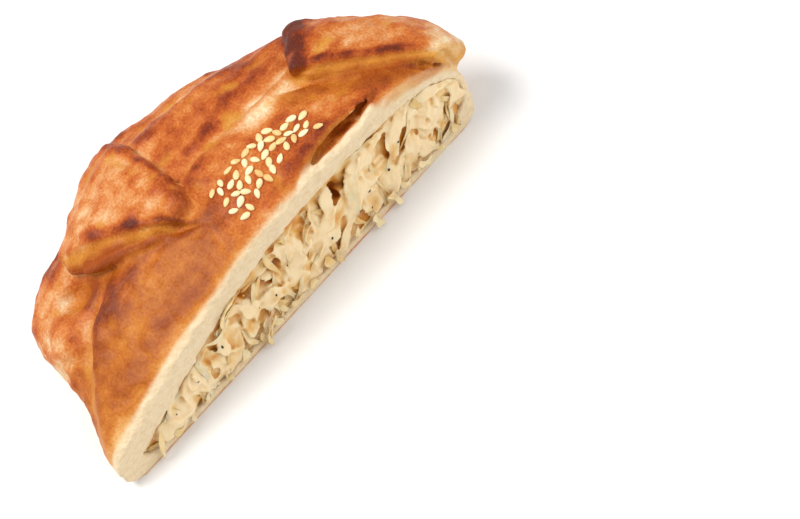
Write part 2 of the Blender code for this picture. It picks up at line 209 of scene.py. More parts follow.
def add_node(
    tree: Tree,
    kind: str,
    inputs: Optional[dict] = None,
    out: Union[int, str] = 0,
    ramp: Sequence[tuple[float, str]] = (),
    **settings: Any,
) -> bpy.types.NodeSocket:
    """Adds a node with its settings and links.

    Args:
        tree: the node tree it goes into.
        kind: Blender's name for the kind of node.
        inputs: a value or a socket to link, for each input by name or number.
        out: the name or number of the output that is wanted.
        ramp: places and sRGB hex colours of a colour ramp's stops.
        settings: the node's own properties.

    Returns:
        That output of the new node.
    """
    node = tree.nodes.new(kind)
    for name, value in settings.items():
        setattr(node, name, value)
    feed(node, inputs or {})
    for index, (place, colour) in enumerate(ramp):
        stops = node.color_ramp.elements
        stop = stops[index] if index < 2 else stops.new(place)
        stop.position = place
        stop.color = linear(colour)
    return node.outputs[out]


def maths(add: Callable, operation: str, *inputs: Any, clamp: bool = False) -> Any:
    """One step of arithmetic between sockets and numbers."""
    return add("ShaderNodeMath", dict(enumerate(inputs)), operation=operation, use_clamp=clamp)


def grain(add: Callable, where: Any, size: float, detail: float = 4.0, rough: float = 0.5) -> Any:
    """Noise with bumps of that size in millimetres."""
    inputs = {"Vector": where, "Scale": 1.0 / (size * MM), "Detail": detail, "Roughness": rough}
    return add("ShaderNodeTexNoise", inputs)


def mixed(add: Callable, share: Any, first: Any, second: Any) -> Any:
    """The first colour turned into the second by that share; each is a socket or sRGB hex."""
    ends = [linear(end) if isinstance(end, str) else end for end in (first, second)]
    return add("ShaderNodeMix", {0: share, 6: ends[0], 7: ends[1]}, out=2, data_type="RGBA")


def spread_to(add: Callable, value: Any, low: float, high: float, **inputs: float) -> Any:
    """A value from 0 to 1 spread to between low and high."""
    named = {name.replace("_", " "): number for name, number in inputs.items()}
    return add("ShaderNodeMapRange", {"Value": value, "To Min": low, "To Max": high, **named})


def bumped(add: Callable, height: Any, strength: float, depth: float) -> Any:
    """Relief of that depth in millimetres."""
    return add("ShaderNodeBump", {"Height": height, "Strength": strength, "Distance": depth * MM})


def new_material(name: str) -> tuple[Material, Callable, bpy.types.Node]:
    """A material with its own nodes.

    Args:
        name: the real material's name.

    Returns:
        The material, what adds a node to it, and its shader.
    """
    material = bpy.data.materials.new(name)
    material.use_nodes = True
    tree = material.node_tree
    return material, partial(add_node, tree), tree.nodes["Principled BSDF"]


def dress(mesh: Mesh, material: Material) -> None:
    """Gives a mesh one material and smooth shading.

    Args:
        mesh: the mesh.
        material: its finish.
    """
    mesh.materials.clear()
    mesh.materials.append(material)
    mesh.shade_smooth()


def linked(name: str, mesh: Mesh) -> Thing:
    """An object in the scene.

    Args:
        name: its name.
        mesh: its mesh.

    Returns:
        The object.
    """
    obj = bpy.data.objects.new(name, mesh)
    bpy.context.scene.collection.objects.link(obj)
    return obj


def apply_modifier(obj: Thing, kind: str, inputs: Optional[dict] = None, **settings: Any) -> None:
    """Puts a modifier on an object and turns the result into its plain mesh.

    Args:
        obj: the object.
        kind: Blender's name for the kind of modifier.
        inputs: values of a node tree's inputs, by identifier.
        settings: the modifier's own properties.
    """
    modifier = obj.modifiers.new(kind, kind)
    for name, value in settings.items():
        setattr(modifier, name, value)
    for identifier, value in (inputs or {}).items():
        modifier[identifier] = value
    graph = bpy.context.evaluated_depsgraph_get()
    mesh = bpy.data.meshes.new_from_object(obj.evaluated_get(graph))
    obj.modifiers.clear()
    obj.data = mesh


def combine(obj: Thing, others: Sequence[Thing], join: Join) -> None:
    """Applies one Boolean between obj and the others, then removes the others.

    Args:
        obj: the object that keeps the result.
        others: closed meshes.
        join: the kind of Boolean.
    """
    group = bpy.data.collections.new("joined")
    bpy.context.scene.collection.children.link(group)
    for other in others:
        group.objects.link(other)
    operand = {"operand_type": "COLLECTION", "collection": group}
    apply_modifier(obj, "BOOLEAN", **operand, operation=join.value, solver="EXACT")
    for other in others:
        bpy.data.objects.remove(other)
    bpy.data.collections.remove(group)


def remesh(obj: Thing, size: float) -> None:
    """Rebuilds the object's mesh from voxels of that size in millimetres."""
    apply_modifier(obj, "REMESH", mode="VOXEL", voxel_size=size * MM)


def shaped(name: str, make: Callable, shape: Callable[[Array], Array], **sizes: float) -> Thing:
    """A simple solid whose points are moved to a shape.

    Args:
        name: the object's name.
        make: the operator that makes the solid.
        shape: turns its points into millimetres.
        sizes: the operator's sizes.

    Returns:
        The new object.
    """
    mesh = bpy.data.meshes.new(name)
    bm = bmesh.new()
    make(bm, **sizes)
    plain = np.array([v.co[:] for v in bm.verts])
    for vertex, point in zip(bm.verts, placed(shape(plain)).tolist()):
        vertex.co = point
    bmesh.ops.recalc_face_normals(bm, faces=bm.faces)
    bm.to_mesh(mesh)
    bm.free()
    return linked(name, mesh)


def ball(name: str, segments: int, rings: int, shape: Callable[[Array], Array]) -> Thing:
    """A sphere of radius 1 moved to a shape."""
    make = bmesh.ops.create_uvsphere
    return shaped(name, make, shape, u_segments=segments, v_segments=rings, radius=1.0)


def joined(objects: Sequence[Thing]) -> bmesh.types.BMesh:
    """The meshes of some objects in one.

    Args:
        objects: the objects.

    Returns:
        A mesh that has to be freed.
    """
    bm = bmesh.new()
    for obj in objects:
        bm.from_mesh(obj.data)
    return bm


def surface_of(objects: Sequence[Thing]) -> BVHTree:
    """The faces of some objects, for finding places on them.

    Args:
        objects: the objects.

    Returns:
        Their faces.
    """
    bm = joined(objects)
    surface = BVHTree.FromBMesh(bm)
    bm.free()
    return surface


def positions(mesh: Mesh) -> Array:
    """Where the mesh's points are.

    Args:
        mesh: the mesh.

    Returns:
        Millimetres from the cut's middle, one row each.
    """
    co = np.zeros(len(mesh.vertices) * 3, np.float32)
    mesh.vertices.foreach_get("co", co)
    return unplaced(co.reshape(-1, 3))


def set_positions(mesh: Mesh, points: Array) -> None:
    """Moves the mesh's points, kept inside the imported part's box.

    Args:
        mesh: the mesh.
        points: in millimetres from the cut's middle.
    """
    inside = np.clip(placed(points), np.array(CAD_BOX[0]), np.array(CAD_BOX[1]))
    mesh.vertices.foreach_set("co", inside.astype(np.float32).ravel())
    mesh.update()


def normals(mesh: Mesh) -> Array:
    """The directions that the mesh's points face.

    Args:
        mesh: the mesh.

    Returns:
        One row each.
    """
    flat = np.zeros(len(mesh.vertices) * 3, np.float32)
    mesh.vertex_normals.foreach_get("vector", flat)
    return flat.reshape(-1, 3).astype(float)


def relaxed(mesh: Mesh, points: Array, rounds: int) -> Array:
    """Evens a mesh out.

    Args:
        mesh: the mesh, for what joins what.
        points: places of its points.
        rounds: how often they move half way to the middle of their neighbours.

    Returns:
        The new places.
    """
    ends = np.zeros(len(mesh.edges) * 2, np.int32)
    mesh.edges.foreach_get("vertices", ends)
    first, second = ends.reshape(-1, 2).T
    size = len(points)
    beside = np.maximum(np.bincount(ends, minlength=size), 1)
    for _ in range(rounds):
        total = np.empty_like(points)
        for axis in range(3):
            total[:, axis] = np.bincount(first, points[second, axis], size)
            total[:, axis] += np.bincount(second, points[first, axis], size)
        points = 0.5 * points + 0.5 * total / beside[:, None]
    return points


def set_attribute(mesh: Mesh, name: str, values: Array) -> None:
    """Stores numbers on the mesh's points.

    Args:
        mesh: the mesh.
        name: the attribute's name.
        values: one number, or a row of three, for each point.
    """
    wide = values.ndim == 2
    layer = mesh.attributes.new(name, "FLOAT_VECTOR" if wide else "FLOAT", "POINT")
    layer.data.foreach_set("vector" if wide else "value", values.astype(np.float32).ravel())


def grow(obj: Thing, tree: Tree, values: dict[str, Any]) -> None:
    """Replaces an object's mesh by what a Geometry Nodes tree makes of it.

    Args:
        obj: the object.
        tree: the node tree.
        values: the tree's inputs by name.
    """
    named = [item for item in tree.interface.items_tree if item.name in values]
    inputs = {item.identifier: values[item.name] for item in named}
    apply_modifier(obj, "NODES", inputs, node_group=tree)


def new_tree(name: str, sockets: dict[str, str]) -> tuple[Tree, Callable, Any]:
    """An empty Geometry Nodes tree.

    Args:
        name: the tree's name.
        sockets: the kind of each input between the geometry and the material, by name.

    Returns:
        The tree, what adds a node to it, and its inputs by name.
    """
    tree = bpy.data.node_groups.new(name, "GeometryNodeTree")
    for label, kind in {"Geometry": "Geometry", **sockets, "Material": "Material"}.items():
        tree.interface.new_socket(label, in_out="INPUT", socket_type=f"NodeSocket{kind}")
    tree.interface.new_socket("Geometry", in_out="OUTPUT", socket_type="NodeSocketGeometry")
    return tree, partial(add_node, tree), tree.nodes.new("NodeGroupInput").outputs


def stored(add: Callable, name: str, kind: str) -> Any:
    """An attribute of the mesh that the tree starts from."""
    return add("GeometryNodeInputNamedAttribute", {"Name": name}, data_type=kind)


def close_tree(tree: Tree, made: Any, material: Any) -> None:
    """Ends a Geometry Nodes tree with real, smooth meshes of one material.

    Args:
        tree: the tree.
        made: what it has made.
        material: the socket that holds the material.
    """
    real = add_node(tree, "GeometryNodeRealizeInstances", {0: made})
    soft = add_node(tree, "GeometryNodeSetShadeSmooth", {0: real})
    dressed = add_node(tree, "GeometryNodeSetMaterial", {0: soft, 2: material})
    feed(tree.nodes.new("NodeGroupOutput"), {0: dressed})


def show(piece: Thing, node: Optional[str] = None) -> None:
    """Makes a finished piece part of the pastry.

    Args:
        piece: the piece, in its place.
        node: the CAD node it stands for.
    """
    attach(piece, BODY)
    if node:
        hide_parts(node)
    LOG.info("%s: %d faces", piece.name, len(piece.data.polygons))


# The pastry's form


@dataclass(frozen=True)
class DoughForm:
    """The pastry's outside and hollow, in millimetres."""

    half_length: float = 75.5
    depth: float = 66.0
    cut_y: float = -2.3
    cut_lean: float = 0.125
    crown_high: float = 38.5
    crown_low: float = 12.0
    crown_mid_x: float = -44.0
    crown_spread: float = 17.0
    rim_z: float = 8.5
    base_share: float = 0.93
    under_share: float = 0.7
    dome_power: float = 3.4
    roll_width: float = 6.0
    roll_drop: float = 2.6
    top_dough: float = 5.6
    top_thinning: float = 2.2
    bottom_dough: float = 2.6
    wall_dough: float = 7.0
    wall_thinning: float = 2.6
    hollow_x: float = 2.0
    layer_step: float = 2.6
    crease_radius: float = 57.5
    crease_width: float = 1.6
    crease_depth: float = 1.6
    # Swellings of the rim: direction in degrees from +X, height, spread in degrees
    rim_swells: tuple = (
        (143.0, 4.0, 9.0),
        (132.0, 5.0, 11.0),
        (95.0, 3.0, 7.0),
        (116.0, -1.5, 8.0),
        (163.0, -4.5, 11.0),
        (180.0, 0.6, 8.0),
        (2.0, -2.5, 14.0),
        (55.0, -1.5, 12.0),
    )
    # Swellings of the top: centre x, centre y, radius along x, radius along y, height
    top_swells: tuple = (
        (18.0, 47.0, 11.0, 8.0, 1.8),
        (-2.0, 19.0, 14.0, 8.0, 1.2),
        (-60.0, 33.0, 12.0, 11.0, 4.0),
        (-47.0, 41.0, 5.0, 4.0, -5.5),
        (46.0, 44.0, 11.0, 9.0, 3.0),
        (-56.0, 10.0, 10.0, 6.0, 1.6),
        (3.0, 52.0, 9.0, 6.0, 1.6),
        (28.0, 9.8, 15.0, 3.2, 1.2),
    )

    def rim_radius(self, angle: Array) -> Array:
        """How far the outline is from the middle.

        Args:
            angle: direction in radians from +X.

        Returns:
            Millimetres.
        """
        across = (np.cos(angle) / self.half_length) ** 2 + (np.sin(angle) / self.depth) ** 2
        radius = 1.0 / np.sqrt(across)
        for middle, height, spread in self.rim_swells:
            away = np.abs((np.degrees(angle) - middle + 180.0) % 360.0 - 180.0)
            radius = radius + height * ridge(away, 0.0, spread)
        return radius

    def crown_height(self, x: Array) -> Array:
        """Height of the top dough, which slopes down towards the -X end."""
        rise = 1.0 / (1.0 + np.exp(-(x - self.crown_mid_x) / self.crown_spread))
        return self.crown_low + (self.crown_high - self.crown_low) * rise

    def dome_height(self, x: Array, y: Array) -> Array:
        """Height of the plain dome without folds.

        Args:
            x: place along the cut.
            y: place behind it.

        Returns:
            Millimetres.
        """
        share = np.clip(np.hypot(x, y) / self.rim_radius(np.arctan2(y, x)), 0.0, 1.0)
        edge = (1.0 - share**self.dome_power) ** (1.0 / self.dome_power)
        return self.rim_z + (self.crown_height(x) - self.rim_z) * edge

    def petal_edge(self, x: Array) -> Array:
        """Y of the far edge of the folded-over middle layer."""
        return 34.0 - 23.0 * np.clip((-35.0 - x) / 36.0, 0.0, 1.2) ** 2

    def top_relief(self, x: Array, y: Array) -> Array:
        """What the folds and swellings add to the top.

        Args:
            x: place along the cut.
            y: place behind it.

        Returns:
            Millimetres.
        """
        step = self.layer_step * smooth(-0.4, 3.0, self.petal_edge(x) - y)
        step = step * (1.0 + 0.5 * smooth(25.0, 45.0, -x))
        turn = np.degrees(np.arctan2(y, x))
        crease = ridge(np.hypot(x, y), self.crease_radius, self.crease_width)
        crease = crease * smooth(70.0, 76.0, turn) * fade(90.0, 97.0, turn)
        return step - self.crease_depth * crease + hills(x, y, self.top_swells)

    def cut_roll(self, x: Array, y: Array) -> Array:
        """How far the top dough rounds over where the knife pressed it down."""
        t = (y - self.cut_y - self.cut_lean * self.crown_height(x)) / self.roll_width
        return self.roll_drop * (1.0 - np.sqrt(1.0 - (1.0 - np.clip(t, 0.0, 1.0)) ** 2))

    def behind_cut(self, points: Array) -> Array:
        """How far points lie behind the leaning cut."""
        return points[:, 1] - self.cut_y - self.cut_lean * points[:, 2]

    def block(self, name: str, near: float, far: float) -> Thing:
        """A box that leans as the cut does, between two distances behind the cut.

        Args:
            name: the object's name.
            near: distance of its front in millimetres.
            far: distance of its back.

        Returns:
            The box.
        """

        def shape(unit: Array) -> Array:
            """A block that is longer and higher than the pastry.

            Args:
                unit: corners of a cube of side 1.

            Returns:
                The block's corners.
            """
            x, y, z = unit.T * np.array((240.0, 1.0, 110.0))[:, None]
            height = z + 35.0
            depth = self.cut_y + np.where(y > 0.0, far, near) + self.cut_lean * height
            return np.stack([x, depth, height], axis=1)

        return shaped(name, bmesh.ops.create_cube, shape, size=1.0)

    def outer_points(self, unit: Array) -> Array:
        """The outer surface, with folds on top and a flat base.

        Args:
            unit: points on the unit sphere.

        Returns:
            Points in millimetres.
        """
        angle = np.arctan2(unit[:, 1], unit[:, 0])
        turn = np.arcsin(np.clip(unit[:, 2], -1.0, 1.0)) / (math.pi / 2.0)
        above = 1.0 - np.clip(turn, 0.0, 1.0) ** 1.6
        under = np.clip(-turn / self.under_share, 0.0, 1.0)
        curl = self.base_share + (1.0 - self.base_share) * np.sqrt(1.0 - under**2)
        flat = self.base_share * (1.0 + turn) / (1.0 - self.under_share)
        share = np.where(turn >= 0.0, above, np.where(turn > -self.under_share, curl, flat))
        x = self.rim_radius(angle) * share * np.cos(angle)
        y = self.rim_radius(angle) * share * np.sin(angle)
        top = self.dome_height(x, y)
        edge = (top - self.rim_z) / (self.crown_height(x) - self.rim_z)
        swell = 0.9 * lumps(np.stack([x, y, top], axis=1), 17.0, 1)
        relief = self.top_relief(x, y) - self.cut_roll(x, y) + swell
        high = top + relief * smooth(0.0, 0.75, edge)
        z = np.where(turn >= 0.0, high, self.rim_z * (1.0 - under))
        return np.stack([x, y, np.maximum(z, 0.0)], axis=1)

    def hollow_levels(self, x: Array, y: Array, gap: float) -> tuple:
        """Heights of the hollow.

        Args:
            x: place along the cut.
            y: place behind it.
            gap: what is taken off all round.

        Returns:
            Its floor, widest level and ceiling.
        """
        dough = self.top_dough - self.top_thinning * smooth(38.0, 60.0, x)
        ceiling = self.crown_height(x) - dough + 0.35 * self.top_relief(x, y)
        ceiling = ceiling - 0.5 * self.cut_roll(x, y) - gap
        floor = self.bottom_dough + gap
        return floor, floor + 0.35 * (ceiling - floor), ceiling

    def hollow_reach(self, angle: Array, gap: float) -> Array:
        """How far the hollow reaches in the direction angle, less a gap."""
        wall = self.wall_dough - self.wall_thinning * smooth(0.80, 0.98, np.cos(angle))
        return self.rim_radius(angle) - wall - gap

    def hollow_points(self, unit: Array, gap: float = 0.0) -> Array:
        """The hollow in the dough, or the filling's outside when a gap is taken off it.

        Args:
            unit: points on the unit sphere.
            gap: what is taken off all round.

        Returns:
            Points in millimetres.
        """
        angle = np.arctan2(unit[:, 1], unit[:, 0])
        rise = unit[:, 2]
        share = np.sqrt(np.clip(1.0 - rise**2, 0.0, 1.0)) ** 0.8
        reach = self.hollow_reach(angle, gap)
        x = reach * share * np.cos(angle) + self.hollow_x
        y = reach * share * np.sin(angle)
        floor, middle, ceiling = self.hollow_levels(x, y, gap)
        up = middle + (ceiling - middle) * np.abs(rise) ** 0.8
        down = middle - (middle - floor) * np.minimum(1.0, 1.6 * np.abs(rise))
        return np.stack([x, y, np.where(rise >= 0.0, up, down)], axis=1)

    def hollow_limits(self, x: Array, y: Array, gap: float = 0.0) -> tuple:
        """Lowest and highest Z of the hollow, which meet where it ends.

        Args:
            x: place along the cut.
            y: place behind it.
            gap: what is taken off all round.

        Returns:
            Both heights.
        """
        away = x - self.hollow_x
        share = np.clip(np.hypot(away, y) / self.hollow_reach(np.arctan2(y, away), gap), 0.0, 1.0)
        rise = np.sqrt(1.0 - share**2.5)
        floor, middle, ceiling = self.hollow_levels(x, y, gap)
        low = middle - (middle - floor) * np.minimum(1.0, 1.6 * rise)
        return low, middle + (ceiling - middle) * rise**0.8


@dataclass(frozen=True)
class Flap:
    """A flap of dough folded over the top, in millimetres. Pairs are at its root and tip."""

    name: str
    root: Pair
    tip: Pair
    root_side: Pair
    tip_side: Pair
    lift: Pair
    thickness: Pair
    below: Pair
    bow: float
    corners: float
    inset: float
    seed: int
    slope: float
    sag: float = 0.0
    least: float = 0.0
    undercut: float = 0.1
    front_bake: float = 0.3
    back_bake: float = 0.0
    tip_bake: float = 0.3
    lip: float = 0.55
    fading: float = 0.0

    def points(self, unit: Array, form: DoughForm) -> Array:
        """The flap's surface.

        Args:
            unit: points on the unit sphere.
            form: the dome that the flap follows.

        Returns:
            Points in millimetres.
        """
        flat = np.maximum(np.hypot(unit[:, 0], unit[:, 1]), 1e-6)
        along, across = unit[:, 0] / flat, unit[:, 1] / flat
        power = self.corners
        square = (np.abs(along) ** power + np.abs(across) ** power) ** (1.0 / power)
        square = np.maximum(square, 0.1)
        spread = np.minimum(flat, 1.0) ** 0.5
        up = np.sign(unit[:, 2]) * np.abs(unit[:, 2]) ** 0.72
        spread = spread * (1.0 - self.undercut * smooth(0.0, 0.55, -up))
        spread = spread * (1.0 - self.slope * np.maximum(up, 0.0))
        along, across = spread * along / square, spread * across / square
        reach = (1.0 - along) / 2.0

        def between(ends: Pair) -> Array:
            """The value at the root, the tip or between them."""
            return ends[0] + (ends[1] - ends[0]) * reach

        bow = self.bow * np.sin(math.pi * reach) * (across < 0.0) * across**2
        x = between((self.root[0], self.tip[0]))
        x = x + between((self.root_side[0], self.tip_side[0])) * across
        y = between((self.root[1], self.tip[1]))
        y = y + between((self.root_side[1], self.tip_side[1])) * across + bow
        thickness = between(self.thickness) + between(self.below) * (up < 0.0)
        level = np.maximum(form.dome_height(x * self.inset, y * self.inset), self.least)
        z = level + between(self.lift) + thickness * up
        z = z - self.sag * np.sin(math.pi * reach) * np.maximum(up, 0.0)
        swell = 0.75 * lumps(np.stack([x, y, z], axis=1), 8.5, self.seed)
        return np.stack([x, y, z + swell], axis=1)

    def coordinates(self, points: Array) -> tuple[Array, Array]:
        """Where points are on the flap.

        Args:
            points: places in millimetres.

        Returns:
            Place along it, 0 at its root and 1 at its tip, and across it, -1 to 1.
        """
        root, tip = np.array(self.root), np.array(self.tip)
        axis = tip - root
        off = points[:, :2] - root
        first, last = np.array(self.root_side), np.array(self.tip_side)
        reach = np.clip(off @ axis / (axis @ axis), 0.0, 1.0)
        across = np.zeros(len(points))
        for _ in range(4):
            side = first + (last - first) * reach[:, None]
            rest = off - axis * reach[:, None]
            across = np.sum(rest * side, axis=1) / np.sum(side * side, axis=1)
            reach = (off - side * across[:, None]) @ axis / (axis @ axis)
        return reach, across


@dataclass(frozen=True)
class Scoop:
    """An egg-shaped dent whose height follows the crown, in millimetres."""

    x: float
    y: float
    half_length: float
    half_width: float
    half_height: float
    above: float
    slope: float = 0.0
    fall: float = 0.0
    # Its bake, a rise in bake from one X to another that paints shade into a deep end, its gold,
    # and whether they reach the cut
    bake: float = 0.0
    deep_end_shade: float = 0.0
    deep_end_span: Pair = (26.0, 33.0)
    gold: float = 0.0
    at_cut: bool = False

    def middle_height(self, x: Array, y: Array, form: DoughForm) -> Array:
        """Height of the dent's middle at x, y."""
        level = form.crown_height(x) + self.above
        return level - self.slope * (y - self.y) - self.fall * (x - self.x)

    def points(self, unit: Array, form: DoughForm) -> Array:
        """The dent's surface.

        Args:
            unit: points on the unit sphere.
            form: the dome that it follows.

        Returns:
            Points in millimetres.
        """
        x = self.x + self.half_length * unit[:, 0]
        y = self.y + self.half_width * unit[:, 1]
        z = self.middle_height(x, y, form) + self.half_height * unit[:, 2]
        return np.stack([x, y, z], axis=1)

    def inside(self, points: Array, form: DoughForm) -> Array:
        """How far points are from the dent's middle.

        Args:
            points: places in millimetres.
            form: the dome that it follows.

        Returns:
            1 on its surface, less inside.
        """
        x, y, z = points.T
        up = (z - self.middle_height(x, y, form)) / self.half_height
        away = ((x - self.x) / self.half_length) ** 2 + ((y - self.y) / self.half_width) ** 2
        return np.sqrt(away + up**2)


LEFT_FLAP = Flap(
    name="left_flap",
    root=(-28.5, 59.0),
    tip=(-12.0, 22.5),
    root_side=(22.5, 10.5),
    tip_side=(4.4, 1.8),
    lift=(1.6, 3.0),
    thickness=(3.8, 4.8),
    below=(7.0, 0.0),
    bow=-2.5,
    corners=3.4,
    inset=0.94,
    seed=4,
    slope=0.24,
    front_bake=0.32,
    back_bake=0.18,
    tip_bake=0.1,
)
RIGHT_FLAP = Flap(
    name="right_flap",
    root=(78.5, 4.0),
    tip=(41.0, 36.0),
    root_side=(5.5, 8.0),
    tip_side=(8.0, 10.0),
    lift=(0.6, 3.6),
    thickness=(4.6, 4.8),
    below=(15.0, 0.0),
    bow=0.0,
    corners=4.0,
    inset=0.9,
    seed=9,
    slope=0.22,
    sag=2.4,
    least=18.0,
    front_bake=0.5,
    tip_bake=0.85,
    fading=0.5,
)
LEDGE = Scoop(
    x=28.0,
    y=1.8,
    half_length=17.5,
    half_width=5.4,
    half_height=5.0,
    above=4.2,
    bake=-0.05,
    gold=0.85,
)
POCKET = Scoop(
    x=30.0,
    y=6.8,
    half_length=14.5,
    half_width=3.4,
    half_height=1.5,
    above=0.3,
    slope=0.35,
    bake=-0.1,
    # Painted shade: the bake rises towards the pocket's deep end at +X
    deep_end_shade=0.65,
    gold=0.7,
)
CLEFT = Scoop(
    x=63.0,
    y=2.5,
    half_length=10.5,
    half_width=5.0,
    half_height=0.9,
    above=-6.0,
    fall=0.82,
    # Painted shade: the cleft's inside is made browner, as shade in the V gap
    bake=0.35,
    gold=0.6,
    at_cut=True,
)


# Finishes


@dataclass(frozen=True)
class BakedCrust:
    """Wheat dough brushed with egg and baked: satin, blotched from cream to dark brown."""

    stops: tuple = (
        (0.0, "#efdbb2"),
        (0.15, "#e4ba8c"),
        (0.30, "#d99a62"),
        (0.45, "#cb7634"),
        (0.60, "#b95a1e"),
        (0.74, "#9c4212"),
        (0.87, "#802f0c"),
        (1.0, "#5f220c"),
    )
    gold: str = "#dc9a34"
    deep_gold: str = "#a64a04"
    crumb: str = "#edd6b0"
    crumb_shade: str = "#dbb780"
    pore_mm: float = 0.8
    blotch_mm: float = 4.5
    leaf_mm: float = 1.0
    leaf_draw: tuple = (0.45, 1.0, 1.0)
    pore_share: float = 0.54
    blotch_share: float = 0.30
    roughness: Pair = (0.36, 0.56)
    bump_mm: float = 0.5

    def make(self) -> Material:
        """Builds the finish, which reads the crust's bake, gold and crumb attributes.

        Returns:
            The material.
        """
        material, add, shader = new_material("baked egg-washed dough")
        where = add("ShaderNodeTexCoord", out="Object")
        bake, gold, crumb = (
            add("ShaderNodeAttribute", out="Fac", attribute_name=name)
            for name in ("bake", "gold", "crumb")
        )
        # The grain of browned dough: small pores inside larger blotches
        pores = grain(add, where, self.pore_mm, 3.0, 0.6)
        blotches = grain(add, where, self.blotch_mm)
        level = maths(add, "MULTIPLY_ADD", pores, self.pore_share, bake)
        level = maths(add, "MULTIPLY_ADD", blotches, self.blotch_share, level)
        level = maths(add, "SUBTRACT", level, 0.5 * (self.pore_share + self.blotch_share))
        browned = add("ShaderNodeValToRGB", {"Fac": level}, ramp=self.stops)
        # Egg wash that ran together: yellow where it is thin, deep amber where it baked longest
        golden = mixed(add, gold, browned, mixed(add, level, self.gold, self.deep_gold))
        # The cut dough is soft and torn, with streaks along the leaves it was folded from
        drawn = add("ShaderNodeVectorMath", {0: where, 1: self.leaf_draw}, operation="MULTIPLY")
        streaks = grain(add, drawn, self.leaf_mm)
        thin = spread_to(add, streaks, 0.0, 0.5, From_Min=0.42, From_Max=0.75)
        inner = mixed(add, thin, self.crumb, self.crumb_shade)
        look = {
            "Base Color": mixed(add, crumb, golden, inner),
            "Roughness": spread_to(add, blotches, *self.roughness),
            "Normal": bumped(add, pores, 0.9, self.bump_mm),
            "Subsurface Weight": 0.08,
            "Subsurface Scale": 1.2 * MM,
            "Subsurface Radius": (1.0, 0.5, 0.25),
            "Specular IOR Level": 0.2,
            "Coat Weight": 0.07,
            "Coat Roughness": 0.25,
            "IOR": 1.45,
        }
        feed(shader, look)
        return material


@dataclass(frozen=True)
class WetFood:
    """Soft wet plant tissue: light goes into it and it shines a little."""

    name: str
    stops: tuple
    patch_mm: float
    roughness: Pair
    scatter: float
    reach_mm: float
    bump_mm: float
    tone: Optional[str] = None
    stretch: float = 1.0
    patch_share: float = 0.8

    def make(self) -> Material:
        """Builds the finish, whose tint follows the tone attribute where the piece has one.

        Returns:
            The material.
        """
        material, add, shader = new_material(self.name)
        where = add("ShaderNodeTexCoord", out="Object")
        # Patches drawn out upwards, as fibres are
        along = add("ShaderNodeMapping", {"Vector": where, "Scale": (1.0, 1.0, self.stretch)})
        patches = grain(add, along, self.patch_mm)
        share = patches
        if self.tone:
            tone = add("ShaderNodeAttribute", out="Fac", attribute_name=self.tone)
            share = maths(add, "MULTIPLY_ADD", patches, self.patch_share, tone)
            share = maths(add, "SUBTRACT", share, 0.5 * self.patch_share, clamp=True)
        look = {
            "Base Color": add("ShaderNodeValToRGB", {"Fac": share}, ramp=self.stops),
            "Roughness": spread_to(add, patches, *self.roughness),
            "Normal": bumped(add, patches, 0.6, self.bump_mm),
            "Subsurface Weight": self.scatter,
            "Subsurface Scale": self.reach_mm * MM,
            "Subsurface Radius": (1.0, 0.75, 0.4),
            "IOR": 1.4,
        }
        feed(shader, look)
        return material


# Its deeper stops colour the pieces' given tones and the painted shade that the packed mass's
# tone puts into its depth, crevices and gaps
STEWED_CABBAGE = WetFood(
    name="stewed white cabbage",
    stops=((0.0, "#f0d6a8"), (0.3, "#e3b873"), (0.58, "#d79138"), (1.0, "#964c08")),
    patch_mm=2.4,
    roughness=(0.14, 0.34),
    scatter=0.5,
    reach_mm=1.6,
    bump_mm=0.3,
    tone="tone",
    stretch=0.3,
)
SESAME = WetFood(
    name="toasted hulled sesame",
    stops=((0.0, "#f7e4b8"), (0.6, "#efcf92"), (1.0, "#dba356")),
    patch_mm=2.6,
    roughness=(0.3, 0.45),
    scatter=0.35,
    reach_mm=0.8,
    bump_mm=0.05,
    tone="tone",
)
PEPPER = WetFood(
    name="ground black pepper",
    stops=((0.0, "#4a3220"), (1.0, "#1c120b")),
    patch_mm=0.5,
    roughness=(0.5, 0.7),
    scatter=0.0,
    reach_mm=0.1,
    bump_mm=0.1,
)


# Crust


